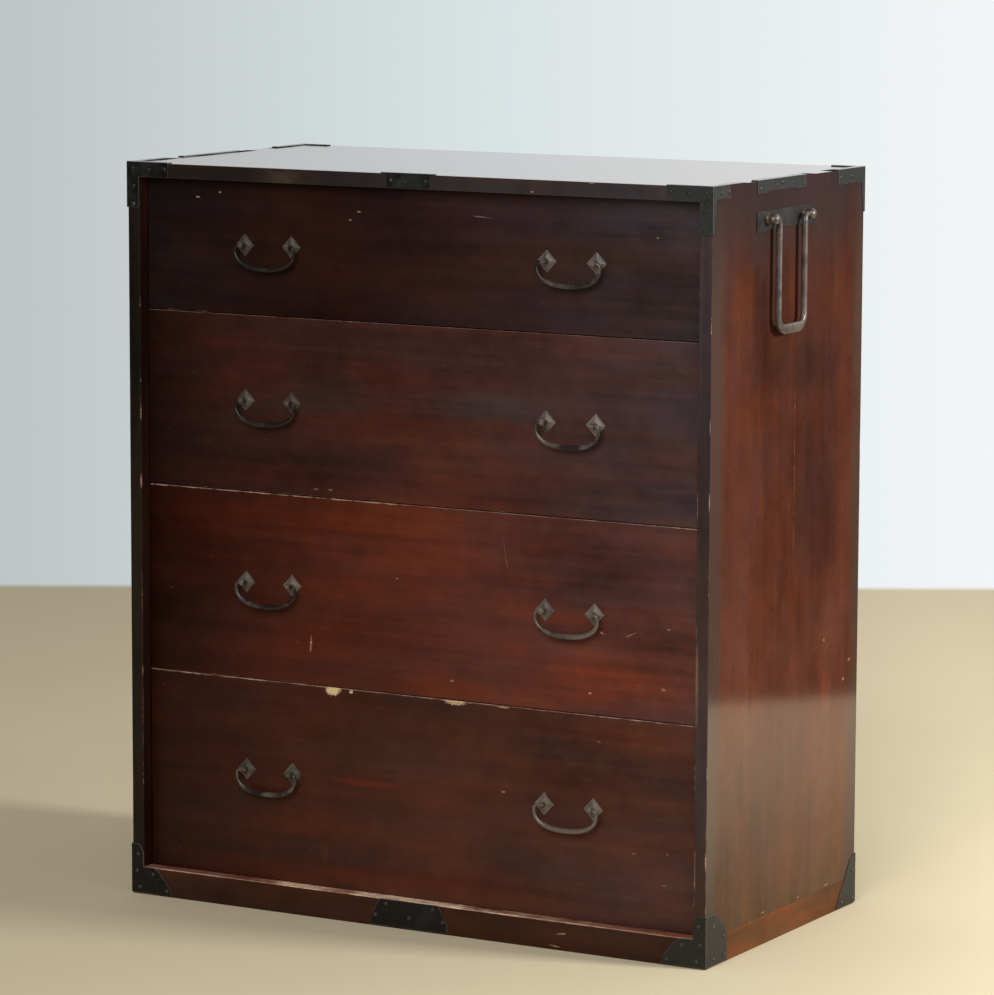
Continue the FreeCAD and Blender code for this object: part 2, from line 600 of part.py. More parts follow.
def wrapped(leaves):
    """One iron, bent round a corner or an edge from all its leaves."""
    return leaves[0].fuse(leaves[1:]).removeSplitter()


def lid_strip(face, along, across):
    """The narrow leaf on the top board: a strip beside each of the two edges of the corner."""
    t = IRON_THICKNESS
    return face.leaf([(-t, -t), (along, -t), (along, TOP_LEAF_WIDTH), (TOP_LEAF_WIDTH, TOP_LEAF_WIDTH),
                      (TOP_LEAF_WIDTH, across), (-t, across)])


def top_corner_iron_front():
    """Right-hand top front corner: over the top board's edge, down the stile and back along the side."""
    t = IRON_THICKNESS
    front = FRONT_TOP.leaf([(-t, -t), (TOP_FRONT_LENGTH, -t), (TOP_FRONT_LENGTH, TOP_THICKNESS),
                            (SIDE_THICKNESS, TOP_THICKNESS), (SIDE_THICKNESS, TOP_FRONT_DROP),
                            (-t, TOP_FRONT_DROP)])
    side = SIDE_TOP.leaf([(-t, -t), (TOP_SIDE_LENGTH, -t), (TOP_SIDE_LENGTH, TOP_SIDE_HEIGHT),
                          (TOP_SIDE_STRIP, TOP_SIDE_HEIGHT), (TOP_SIDE_STRIP_END, TOP_FRONT_DROP),
                          (-t, TOP_FRONT_DROP)])
    return wrapped([front, side, lid_strip(LID_FRONT, TOP_FRONT_LENGTH, TOP_EDGE_RUN)])


def top_corner_iron_rear():
    """Right-hand top rear corner."""
    t = IRON_THICKNESS
    back = BACK_TOP.leaf([(-t, -t), (REAR_BACK_LENGTH, -t), (REAR_BACK_LENGTH, TOP_THICKNESS),
                          (-t, TOP_THICKNESS)])
    side = SIDE_TOP_REAR.leaf([(-t, -t), (REAR_SIDE_LENGTH, -t), (REAR_SIDE_LENGTH, TOP_THICKNESS),
                               (TOP_SIDE_STRIP, TOP_THICKNESS), (TOP_SIDE_STRIP_END, REAR_SIDE_DROP),
                               (-t, REAR_SIDE_DROP)])
    return wrapped([back, side, lid_strip(LID_REAR, REAR_BACK_LENGTH, REAR_SIDE_LENGTH)])


def top_edge_iron():
    """Right-hand edge iron over the carrying handle, deeper at both ends."""
    t = IRON_THICKNESS
    start, end = EDGE_IRON_START, EDGE_IRON_END
    inner_start, inner_end = start + EDGE_IRON_FOOT, end - EDGE_IRON_FOOT
    side = SIDE_TOP.leaf([(start, -t), (end, -t), (end, EDGE_IRON_HEIGHT), (inner_end, EDGE_IRON_HEIGHT),
                          (inner_end, EDGE_IRON_MIDDLE_HEIGHT), (inner_start, EDGE_IRON_MIDDLE_HEIGHT),
                          (inner_start, EDGE_IRON_HEIGHT), (start, EDGE_IRON_HEIGHT)])
    lid = LID_FRONT.leaf([(-t, start), (TOP_LEAF_WIDTH, start), (TOP_LEAF_WIDTH, end), (-t, end)])
    return wrapped([side, lid])


def top_centre_plate():
    """The small plate in the middle of the top rail, with its round hole."""
    t = IRON_THICKNESS
    start = HALF_WIDTH + CENTRE_PLATE_SHIFT - CENTRE_PLATE_LENGTH / 2
    end = start + CENTRE_PLATE_LENGTH
    front = FRONT_TOP.leaf([(start, -t), (end, -t), (end, CENTRE_PLATE_HEIGHT), (start, CENTRE_PLATE_HEIGHT)])
    lid = LID_FRONT.leaf([(start, -t), (end, -t), (end + CENTRE_PLATE_EAR, 0), (end, TOP_LEAF_WIDTH),
                          (start, TOP_LEAF_WIDTH), (start - CENTRE_PLATE_EAR, 0)])
    hole = Part.makeCylinder(CENTRE_PLATE_HOLE_RADIUS, IRON_THICKNESS,
                             FRONT_TOP.point(HALF_WIDTH + CENTRE_PLATE_HOLE_SHIFT, CENTRE_PLATE_HOLE_DEPTH),
                             V(0, -1, 0))
    return wrapped([front, lid]).cut(hole)


def sweep(start, end):
    """A sloping edge that bulges a little: part straight line, part quarter wave of a sine."""
    (u0, v0), (u1, v1) = start, end
    points = []
    for at in range(CURVE_STEPS + 1):
        share = at / CURVE_STEPS
        rise = share + SWEEP_BULGE_SHARE * (sin(pi / 2 * share) - share)
        points.append((u0 + (u1 - u0) * share, v0 + (v1 - v0) * rise))
    return points


def base_corner_iron_front():
    """Right-hand front foot: a splayed leaf on the rail, an arm up the stile and a leaf along the side."""
    t = IRON_THICKNESS
    low = IRON_FLOOR_GAP
    splay = sweep((BASE_FRONT_LENGTH, BASE_FRONT_FOOT), (BASE_FRONT_TOP_LENGTH, BASE_HEIGHT))
    arm = sweep((SIDE_THICKNESS, BASE_STILE_SHOULDER), (BASE_STILE_TOP_LENGTH, BASE_STILE_RISE))
    front = FRONT_BASE.leaf([(-t, low), (BASE_FRONT_LENGTH, low)] + splay + [(SIDE_THICKNESS, BASE_HEIGHT)]
                            + arm + [(-t, BASE_STILE_RISE)])
    slope = sweep((BASE_SIDE_LENGTH, BASE_SIDE_END_HEIGHT), (BASE_SIDE_TOP_LENGTH, BASE_STILE_RISE))
    side = SIDE_BASE.leaf([(-t, low), (BASE_SIDE_LENGTH, low)] + slope + [(-t, BASE_STILE_RISE)])
    return wrapped([front, side])


def base_corner_iron_rear():
    """Right-hand foot of the back: two leaves with a long slanted edge."""
    t = IRON_THICKNESS
    low = IRON_FLOOR_GAP
    outline = [(-t, low), (BASE_REAR_LENGTH, low), (BASE_REAR_TOP_LENGTH, BASE_REAR_HEIGHT),
               (-t, BASE_STILE_RISE)]
    return wrapped([BACK_BASE.leaf(outline), SIDE_BASE_REAR.leaf(outline)])


def base_centre_plate():
    """The plate in the middle of the front rail, narrower at the top."""
    edge = [(BASE_PLATE_HALF_LENGTH, IRON_FLOOR_GAP)]
    edge += sweep((BASE_PLATE_HALF_LENGTH, BASE_PLATE_SHOULDER), (BASE_PLATE_HALF_TOP, BASE_HEIGHT))
    return FRONT_BASE.leaf([(HALF_WIDTH + u, v) for u, v in edge]
                           + [(HALF_WIDTH - u, v) for u, v in reversed(edge)])


def iron_nails():
    """All the nail heads on the sheet irons."""
    start = HALF_WIDTH + CENTRE_PLATE_SHIFT - CENTRE_PLATE_LENGTH / 2
    middle_plate = Face((HALF_WIDTH - start, FRONT_Y, CASE_HEIGHT), (-1, 0, 0), (0, 0, -1), (0, -1, 0))
    base_plate = Face((BASE_PLATE_HALF_LENGTH, FRONT_Y, 0), (-1, 0, 0), (0, 0, 1), (0, -1, 0))
    edge = Face((HALF_WIDTH, FRONT_Y + EDGE_IRON_START, CASE_HEIGHT), (0, 1, 0), (0, 0, -1), (1, 0, 0))
    paired = (FRONT_TOP.nails(TOP_FRONT_NAIL_SHARES, TOP_FRONT_LENGTH, TOP_FRONT_DROP)
              + SIDE_TOP.nails(TOP_SIDE_NAIL_SHARES, TOP_SIDE_LENGTH, TOP_SIDE_HEIGHT)
              + BACK_TOP.nails(REAR_BACK_NAIL_SHARES, REAR_BACK_LENGTH, TOP_THICKNESS)
              + SIDE_TOP_REAR.nails(REAR_SIDE_NAIL_SHARES, REAR_SIDE_LENGTH, TOP_THICKNESS)
              + edge.nails(EDGE_NAIL_SHARES, EDGE_IRON_LENGTH, EDGE_IRON_HEIGHT)
              + FRONT_BASE.nails(BASE_FRONT_NAIL_SHARES, BASE_FRONT_LENGTH, BASE_STILE_RISE)
              + SIDE_BASE.nails(BASE_SIDE_NAIL_SHARES, BASE_SIDE_LENGTH, BASE_STILE_RISE)
              + BACK_BASE.nails(BASE_REAR_NAIL_SHARES, BASE_REAR_LENGTH, BASE_REAR_HEIGHT)
              + SIDE_BASE_REAR.nails(BASE_REAR_NAIL_SHARES, BASE_REAR_LENGTH, BASE_REAR_HEIGHT))
    single = (middle_plate.nails(CENTRE_NAIL_SHARES, CENTRE_PLATE_LENGTH, CENTRE_PLATE_HEIGHT)
              + base_plate.nails(BASE_PLATE_NAIL_SHARES, 2 * BASE_PLATE_HALF_LENGTH, BASE_HEIGHT))
    return Part.makeCompound(paired + [left_hand(head) for head in paired] + single)


def pieces():
    """Every piece of the chest, by name."""
    made = {"top_panel": top_panel(), "bottom_panel": shelf(SEAMS[-1]), "back_boards": back_boards()}
    for number, seam in enumerate(SEAMS[1:-1], start=1):
        made[f"divider_board_{number}"] = shelf(seam)
    made["base_rail_front"] = base_rail_front()
    made["base_rail_back"] = base_rail_front().mirror(V(0, 0, 0), V(0, 1, 0))
    handed = {"side_panel": side_panel(), "front_stile": front_stile(), "base_rail": base_rail_side(),
              "top_corner_iron_front": top_corner_iron_front(),
              "base_corner_iron_front": base_corner_iron_front(),
              "side_handle_mount": side_handle_mount(), "side_bail": side_bail()}
    for name, shape in handed.items():
        made[f"{name}_right"] = shape
        made[f"{name}_left"] = left_hand(shape)
    paired = {"top_corner_irons_rear": top_corner_iron_rear(), "top_edge_irons": top_edge_iron(),
              "base_corner_irons_rear": base_corner_iron_rear()}
    for name, shape in paired.items():
        made[name] = Part.makeCompound([shape, left_hand(shape)])
    made["top_centre_plate"] = top_centre_plate()
    made["base_centre_plate"] = base_centre_plate()
    made["iron_nails"] = iron_nails()
    for number in range(len(DRAWER_HEIGHTS)):
        drawer = f"drawer_{number + 1}"
        made[f"{drawer}_front"] = drawer_front(number)
        made[f"{drawer}_side_right"] = drawer_side(number)
        made[f"{drawer}_side_left"] = left_hand(drawer_side(number))
        made[f"{drawer}_back"] = drawer_back(number)
        made[f"{drawer}_bottom"] = drawer_bottom(number)
        made[f"{drawer}_rosettes"] = drawer_rosettes(number)
        for hand, x in zip(("left", "right"), pull_places()):
            made[f"{drawer}_bail_{hand}"] = drawer_bail(x, number)
    return made


os.makedirs("parts", exist_ok=True)
for name, shape in pieces().items():
    shape.exportStep(f"parts/{name}.step")
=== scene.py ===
"""Looks of the isho clothing chest: worn lacquer, bare paulownia, forged irons and a plain pale studio."""
import json
from math import cos, pi, radians, sin

import bmesh
import bpy
import numpy as np
from mathutils import Matrix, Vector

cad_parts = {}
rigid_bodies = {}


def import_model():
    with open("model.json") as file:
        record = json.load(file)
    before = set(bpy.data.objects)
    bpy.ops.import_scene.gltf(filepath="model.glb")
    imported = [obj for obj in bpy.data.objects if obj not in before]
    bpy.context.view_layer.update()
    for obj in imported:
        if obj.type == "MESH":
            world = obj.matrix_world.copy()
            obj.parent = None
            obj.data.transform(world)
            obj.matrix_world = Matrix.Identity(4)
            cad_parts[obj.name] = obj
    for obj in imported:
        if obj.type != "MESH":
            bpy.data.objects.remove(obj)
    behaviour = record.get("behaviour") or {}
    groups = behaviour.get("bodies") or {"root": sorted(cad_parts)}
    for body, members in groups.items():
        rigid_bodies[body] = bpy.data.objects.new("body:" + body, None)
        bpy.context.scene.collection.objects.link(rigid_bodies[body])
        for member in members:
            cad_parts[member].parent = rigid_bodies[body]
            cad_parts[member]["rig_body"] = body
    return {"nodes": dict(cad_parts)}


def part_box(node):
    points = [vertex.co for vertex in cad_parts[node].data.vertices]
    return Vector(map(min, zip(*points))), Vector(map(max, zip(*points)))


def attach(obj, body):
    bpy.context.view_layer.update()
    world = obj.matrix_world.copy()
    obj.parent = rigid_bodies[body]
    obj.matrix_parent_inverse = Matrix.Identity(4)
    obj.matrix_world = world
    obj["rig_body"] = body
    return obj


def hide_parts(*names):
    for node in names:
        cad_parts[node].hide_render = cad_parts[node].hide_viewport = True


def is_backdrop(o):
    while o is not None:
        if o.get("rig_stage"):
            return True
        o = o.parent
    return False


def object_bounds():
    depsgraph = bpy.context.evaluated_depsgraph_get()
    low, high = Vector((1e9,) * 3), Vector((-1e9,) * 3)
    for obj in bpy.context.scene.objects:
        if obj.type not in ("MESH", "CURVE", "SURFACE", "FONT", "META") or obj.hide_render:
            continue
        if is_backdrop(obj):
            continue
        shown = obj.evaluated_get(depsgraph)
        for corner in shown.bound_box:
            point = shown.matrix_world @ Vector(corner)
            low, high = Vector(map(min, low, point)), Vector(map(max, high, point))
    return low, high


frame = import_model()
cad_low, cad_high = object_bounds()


# Sides of the case. Each is one wide softwood board under thin red-brown lacquer, with its
# grain upright, so dark and orange streaks run from top to bottom. Bare wood shows where
# hands and straps have rubbed the arrises, and where the board has opened along a glue line.

class Wire:
    """A number, vector or colour on its way through a node tree. Sums on it add Math nodes."""

    def __init__(self, tree, socket=None):
        self.tree = tree
        self.socket = socket

    def add(self, kind, settings=None, inputs=None, output=0):
        """Adds a node from its type, its settings and the values or links of its sockets."""
        made = self.tree.nodes.new("ShaderNode" + kind)
        for name, value in (settings or {}).items():
            if name == "stops":
                spread_stops(made.color_ramp, value)
            else:
                setattr(made, name, value)
        for key, value in (inputs or {}).items():
            if isinstance(value, Wire):
                self.tree.links.new(value.socket, made.inputs[key])
            else:
                made.inputs[key].default_value = value
        return Wire(self.tree, made.outputs[output])

    def maths(self, operation, first, second):
        """A Math node on two numbers, each a link or a plain number."""
        return self.add("Math", {"operation": operation}, {0: first, 1: second})

    def __add__(self, other):
        return self.maths("ADD", self, other)

    def __radd__(self, other):
        return self.maths("ADD", other, self)

    def __sub__(self, other):
        return self.maths("SUBTRACT", self, other)

    def __rsub__(self, other):
        return self.maths("SUBTRACT", other, self)

    def __mul__(self, other):
        return self.maths("MULTIPLY", self, other)

    def __rmul__(self, other):
        return self.maths("MULTIPLY", other, self)

    def least(self, other):
        """The smaller of two numbers, or what two masks share."""
        return self.maths("MINIMUM", self, other)

    def most(self, other):
        """The larger of two numbers, or two masks joined."""
        return self.maths("MAXIMUM", self, other)

    def off(self, middle):
        """How far this number is from middle, to either side."""
        return self.maths("ABSOLUTE", self - middle, 0.0)

    def ease(self, start, end):
        """0 before start, 1 after end, a smooth step between; start may be the larger."""
        return self.add("MapRange", {"interpolation_type": "SMOOTHSTEP"}, {0: self, 1: start, 2: end})

    def tones(self, stops):
        """The colour at this share, from stops of (share, colour)."""
        return self.add("ValToRGB", {"stops": stops}, {0: self})

    def blend(self, first, second):
        """first where this mask is 0, second where it is 1."""
        return self.add("Mix", {"data_type": "RGBA"}, {0: self, 6: first, 7: second}, 2)

    def scaled(self, factor):
        """This colour or vector times a number."""
        return self.add("VectorMath", {"operation": "SCALE"}, {0: self, 3: factor})

    def tinted(self, tint):
        """This colour times another one."""
        return self.add("VectorMath", {"operation": "MULTIPLY"}, {0: self, 1: tint})

    def parts(self):
        """The three numbers of this vector."""
        split = self.add("SeparateXYZ", inputs={0: self}).socket.node
        return [Wire(self.tree, socket) for socket in split.outputs]

    def noise(self, cells, seed, detail=3.0, roughness=0.5):
        """Cloudy noise round 0.5 at this place, with so many cells a metre, or as many along x, y
        and z as three numbers say. The seed moves the clouds to another part of the noise."""
        cells = cells if isinstance(cells, tuple) else (cells, cells, cells)
        place = self.add("VectorMath", {"operation": "MULTIPLY_ADD"},
                         {0: self, 1: cells, 2: (seed, 1.7 * seed, 0.6 * seed)})
        return self.add("TexNoise", inputs={"Vector": place, "Scale": 1.0, "Detail": detail,
                                            "Roughness": roughness})


def spread_stops(ramp, stops):
    """Sets a colour ramp to stops of (share, colour), in rising order."""
    ramp.elements[0].position = stops[0][0]
    ramp.elements[1].position = stops[-1][0]
    for share, colour in stops[1:-1]:
        ramp.elements.new(share).color = colour
    ramp.elements[0].color = stops[0][1]
    ramp.elements[len(stops) - 1].color = stops[-1][1]


def seen(red, green, blue):
    """The linear colour of a tone given as the eye sees it, 0 to 255: the display curve undone."""
    share = np.array((red, green, blue)) / 255
    linear = np.where(share <= 0.04045, share / 12.92, ((share + 0.055) / 1.055) ** 2.4)
    return (*linear.tolist(), 1.0)


def new_finish(name):
    """A fresh material, its shader node, and the place on the piece."""
    material = bpy.data.materials.new(name)
    material.use_nodes = True
    tree = material.node_tree
    return material, tree.nodes["Principled BSDF"], Wire(tree).add("TexCoord", output="Object")


def join_finish(shader, colour, roughness, relief, depth, metallic=0.0, **values):
    """Joins colour, roughness and a relief of this depth to a shader, and sets its plain values."""
    tree = shader.id_data
    bump = relief.add("Bump", inputs={"Strength": 1.0, "Distance": depth, "Height": relief})
    tree.links.new(colour.socket, shader.inputs["Base Color"])
    tree.links.new(roughness.socket, shader.inputs["Roughness"])
    tree.links.new(bump.socket, shader.inputs["Normal"])
    if isinstance(metallic, Wire):
        tree.links.new(metallic.socket, shader.inputs["Metallic"])
    else:
        shader.inputs["Metallic"].default_value = metallic
    for name, value in values.items():
        shader.inputs[name.replace("_", " ")].default_value = value


def box_arris(place, box):
    """Distance to the nearest arris of a box: the second smallest of the distances to its faces."""
    low, high = (np.array(corner) for corner in box)
    off = place.add("VectorMath", {"operation": "SUBTRACT"}, {0: place, 1: tuple((low + high) / 2)})
    off = off.add("VectorMath", {"operation": "ABSOLUTE"}, {0: off})
    x, y, z = off.add("VectorMath", {"operation": "SUBTRACT"}, {0: tuple((high - low) / 2), 1: off}).parts()
    return x.least(y).most(x.most(y).least(z))


SPOT_DEPTH = 0.006


def off_centre(place, centre, half_length, half_height, tilt, flat_axis):
    """How far out a place is in a tilted oval on a face, 0 in its middle and 1 at its edge."""
    scale = [half_length, half_length, half_height]
    scale[flat_axis] = SPOT_DEPTH
    turn = [0.0, 0.0, 0.0]
    turn[flat_axis] = radians(tilt)
    oval = place.add("Mapping", {"vector_type": "TEXTURE"},
                     {"Vector": place, "Location": centre, "Rotation": turn, "Scale": scale})
    return oval.add("VectorMath", {"operation": "LENGTH"}, {0: oval}, "Value")


def chip_mask(place, ragged, chips, flat_axis):
    """Above 0 inside ovals (centre, half length, half height, tilt) on a face. The smaller an oval,
    the more ragged and the fainter it is."""
    mask = None
    for centre, half_length, half_height, tilt in chips:
        breadth = min(half_length, half_height)
        torn = 2.2 - min(1.2, 200 * breadth)
        spot = off_centre(place, centre, half_length, half_height, tilt, flat_axis) + (ragged - 0.5) * torn
        spot = spot.ease(1.25, 0.7) * min(1.0, 0.06 + 280 * breadth)
        mask = spot if mask is None else mask.most(spot)
    return mask


HALF_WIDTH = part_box("side_panel_right")[1].x
FRONT_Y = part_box("front_stile_right")[0].y
DRAWER_FACE_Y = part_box("drawer_1_front")[0].y
STAINED_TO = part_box("divider_board_1")[0].y
POLISHED_RELIEF = 0.00020
BRUSHED_RELIEF = 0.00035
COOL = (-0.18, -0.02, 0.16)
WARM = (0.15, 0.02, -0.14)
CHIP_TONES = ((122, 88, 66), (206, 176, 134))
BOARD_TONES = ((128, 96, 66), (186, 152, 112))
STAIN = (26, 13, 9)


def lacquer(name, box, tones, tone_axis, grain_axis, seed, front=None, bare=None, chips=(), flat_axis=1,
            glows=(), hidden=(), rubbed=1.0, grime=(), polished=False, lines=None, gloss=0.24, streaks=1.0,
            blueing=0.0, hues=1.0, rubbed_tones=((112, 78, 62), (182, 148, 128)), **values):
    """Lacquered softwood. Its tone goes by the share of the way along one axis of the box, or by
    front on the vertical faces, times clouds and streaks drawn out along the grain. Blueing cools it
    upwards and warms its foot. Grime covers borders (axis, side, reach, tone), and glows are soft
    ovals (centre, half length, half height, tint). Arrises, chips and worn lines let the raw wood
    through; hidden lists the faces (axis, side) of the box whose arrises are never rubbed. Past the
    plane bare (axis, place, side) the board was never lacquered, only stained along its front.
    Polished lacquer mirrors the floor in its lower half, less so at its foot."""
    material, shader, place = new_finish(name)
    low, high = (np.array(corner) for corner in box)
    x_y_z = place.parts()
    share = (x_y_z[tone_axis] - float(low[tone_axis])) * float(1 / (high - low)[tone_axis])
    colour = share.tones([(at, seen(*tone)) for at, tone in tones])
    if front:
        face = x_y_z[2].ease(float(high[2]) - 0.0002, float(high[2]) - 0.0012)
        colour = face.blend(colour, share.tones([(at, seen(*tone)) for at, tone in front]))
    if blueing:
        bluer = colour.tinted((1 - blueing, 1.0, 1 + 2 * blueing))
        colour = x_y_z[2].ease(0.35, 0.95).blend(colour, bluer)
        redder = colour.tinted((1 + blueing, 1 - 1.5 * blueing, 1 - 3.5 * blueing))
        colour = x_y_z[2].ease(0.30, 0.10).blend(colour, redder)

    def drawn_out(across, along):
        cells = [across] * 3
        cells[grain_axis] = along
        return tuple(cells)

    bands = place.noise(drawn_out(12.0, 2.2), seed, 4.0, 0.6)
    hue = place.noise(drawn_out(17.0, 4.0), seed + 3.1, 4.0, 0.6)
    fine = place.noise(drawn_out(85.0, 2.2), seed + 5.3, 3.0, 0.6)
    cloud = place.noise(drawn_out(6.0, 3.0), seed + 6.7, 3.0, 0.6)
    fibres = place.noise(drawn_out(700.0, 18.0), seed + 9.3, 2.0, 0.5)
    ragged = place.noise(260.0, seed + 12.9, 3.0, 0.6)
    flecks = place.noise(34.0, seed + 7.9, 3.0, 0.7)
    light = 1.0 + (bands - 0.5) * 0.9 + (cloud - 0.5) * 1.5 + (fine - 0.5) * streaks + (flecks - 0.5) * 0.6
    cooler, warmer = (colour.tinted([1 + hues * part for part in tint]) for tint in (COOL, WARM))
    colour = hue.ease(0.36, 0.64).blend(cooler, warmer)
    colour = colour.scaled(light.most(0.3))
    for axis, side, reach, tone in grime:
        border = x_y_z[axis] - float(low[axis]) if side < 0 else float(high[axis]) - x_y_z[axis]
        shade = (border - (cloud - 0.5) * (1.8 * reach)).ease(reach, 0.0) * 0.8
        colour = shade.blend(colour, seen(*tone))
    for centre, half_length, half_height, tint in glows:
        outwards = off_centre(place, centre, half_length, half_height, 0, flat_axis)
        colour = (outwards + bands - 0.5).ease(1.0, 0.2).blend(colour, colour.tinted(tint))

    arris_low, arris_high = low.copy(), high.copy()
    for axis, side in hidden:
        (arris_low if side < 0 else arris_high)[axis] += side
    width = (place.noise(16.0, seed + 15.0, 4.0, 0.7) - 0.60) * (0.012 * rubbed)
    worn = (box_arris(place, (arris_low, arris_high)) - width - (ragged - 0.5) * 0.0012).ease(0.0006, 0.0)
    worn = worn * width.ease(-0.0002 * rubbed, 0.0005 * rubbed)
    specks = place.noise(310.0, seed + 31.0, 1.0, 0.5).ease(0.77, 0.83) * 0.16
    worn = worn.most(specks)
    if lines is not None:
        worn = worn.most(lines(x_y_z, ragged))
    raw = (fibres * 0.5 + flecks * 0.5).ease(0.38, 0.58)
    colour = worn.blend(colour, raw.blend(seen(*rubbed_tones[0]), seen(*rubbed_tones[1])))
    if chips:
        chipped = chip_mask(place, ragged, chips, flat_axis)
        colour = chipped.blend(colour, raw.blend(seen(*CHIP_TONES[0]), seen(*CHIP_TONES[1])))
        worn = worn.most(chipped)
    if bare:
        axis, value, sign = bare
        inside = (x_y_z[axis] * sign).ease(sign * value - 0.0002, sign * value + 0.0002)
        growth = place.noise(drawn_out(90.0, 3.0), seed + 20.0, 3.0, 0.6)
        board = growth.blend(seen(*BOARD_TONES[0]), seen(*BOARD_TONES[1]))
        board = x_y_z[1].ease(STAINED_TO - 0.003, STAINED_TO).blend(seen(*STAIN), board)
        colour = inside.blend(colour, board)
        worn = worn.most(inside)
    roughness = (1.0 + (cloud - 0.5) * 0.6 + (ragged - 0.5) * 0.3) * gloss + worn * 0.4
    relief = fibres * 0.12 + fine * 0.2 + ragged * 0.05 - worn * 0.5
    depth = POLISHED_RELIEF if polished else BRUSHED_RELIEF
    join_finish(shader, colour, roughness, relief, depth, **values)
    if polished:
        mirror = (x_y_z[2].ease(-0.08, 0.3) * x_y_z[2].ease(0.8, 0.5) - worn).most(0.0)
        shader.id_data.links.new(mirror.socket, shader.inputs["Coat Weight"])
    return material


NARROW = 0.0026
BLUNT_CORNER = radians(20)
END_DEPTH = 0.0005


def finished(node, ease_width, material, edges=None, ends=None, glued_y=None):
    """A copy of a CAD node that takes its place, with its loose triangles joined and its arrises
    eased, apart from those in the plane glued_y. edges is the material of the eased arrises and of
    the narrow faces of cut sheet. The faces on the sides of the case get the materials ends,
    left-hand and right-hand."""
    source = frame["nodes"][node]
    joined = bmesh.new()
    joined.from_mesh(source.data)
    bmesh.ops.remove_doubles(joined, verts=joined.verts, dist=1e-6)
    bmesh.ops.dissolve_limit(joined, angle_limit=radians(0.5), verts=joined.verts, edges=joined.edges)
    weight = joined.edges.layers.float.new("bevel_weight_edge")
    for edge in joined.edges:
        glued = glued_y is not None and all(abs(corner.co.y - glued_y) < 1e-5 for corner in edge.verts)
        edge[weight] = 0.0 if glued or edge.calc_face_angle(0.0) < BLUNT_CORNER else 1.0
    extents = [np.sort(np.ptp([corner.co for corner in face.verts], 0)) for face in joined.faces]
    mesh = bpy.data.meshes.new(node + "_finished")
    joined.to_mesh(mesh)
    joined.free()
    mesh.materials.clear()
    mesh.materials.append(material)
    choice = np.zeros(len(mesh.polygons), np.int32)
    if ends is not None:
        middles = np.zeros(3 * len(mesh.polygons))
        mesh.polygons.foreach_get("center", middles)
        for slot, outward in ((1, -1), (2, 1)):
            mesh.materials.append(ends[slot - 1])
            choice[middles[::3] * outward > HALF_WIDTH - END_DEPTH] = slot
    if edges:
        mesh.materials.append(edges)
        choice[np.array(extents)[:, 1] < NARROW] = 1
    mesh.polygons.foreach_set("material_index", choice)
    piece = bpy.data.objects.new(mesh.name, mesh)
    bpy.context.scene.collection.objects.link(piece)
    bevel = piece.modifiers.new("eased arrises", "BEVEL")
    bevel.width = ease_width
    bevel.segments = 2
    bevel.limit_method = "WEIGHT"
    if edges:
        bevel.material = len(mesh.materials) - 1
    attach(piece, source["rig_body"])
    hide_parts(node)
    return piece


SIDE_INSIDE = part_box("side_panel_right")[0].x
SIDE_TONES = [(0.0, (76, 54, 37)), (0.1, (77, 45, 30)), (0.25, (82, 43, 30)), (0.36, (88, 49, 36)),
              (0.5, (73, 40, 30)), (0.85, (68, 39, 30)), (1.0, (63, 41, 36))]
SIDE_GRIME = [(1, -1, 0.025, (65, 53, 45)), (1, 1, 0.05, (65, 53, 45)), (2, 1, 0.17, (46, 38, 38))]
SIDE_CHIPS = [(0.205, 0.356, 0.004, 0.0012, 20), (0.123, 0.396, 0.003, 0.002, 0),
              (0.187, 0.331, 0.003, 0.0015, 30), (-0.181, 0.047, 0.003, 0.0012, 0),
              (-0.06, 0.0445, 0.006, 0.0009, 0), (0.05, 0.0440, 0.003, 0.0010, 0),
              (0.14, 0.0445, 0.008, 0.0009, 0)]
SIDE_GLOWS = [(-0.14, 0.895, 0.06, 0.06, (1.25, 1.08, 0.8)), (0.0, 0.9, 0.022, 0.12, (1.2, 1.05, 0.85)),
              (0.14, 0.886, 0.06, 0.06, (1.12, 1.04, 0.88)), (0.06, 0.785, 0.17, 0.045, (0.78, 0.88, 0.95)),
              (-0.12, 0.73, 0.10, 0.05, (1.2, 1.05, 0.85)), (0.10, 0.62, 0.10, 0.08, (0.84, 0.92, 1.02)),
              (-0.04, 0.57, 0.07, 0.13, (1.12, 1.02, 0.88)), (0.05, 0.475, 0.2, 0.03, (1.18, 1.04, 0.88))]
GLUE_LINE_Y = 0.0215
LACQUER_EDGE = 0.0002
HANDS = (("left", -1), ("right", 1))


def placed(marks, axis, level):
    """Marks on a face as marks in space: each starts with two places on the face, which lies at
    this level of the axis."""
    return [(tuple(np.insert(mark[:2], axis, level)), *mark[2:]) for mark in marks]


def open_joint(x_y_z, ragged):
    """The glue line that has opened: a narrow upright line at mid height, fading at both ends."""
    reach = x_y_z[2].ease(0.50, 0.56).least(x_y_z[2].ease(0.80, 0.74))
    return (x_y_z[1].off(GLUE_LINE_Y) + ragged * 0.0024).ease(0.0020, 0.0010) * reach * 0.28


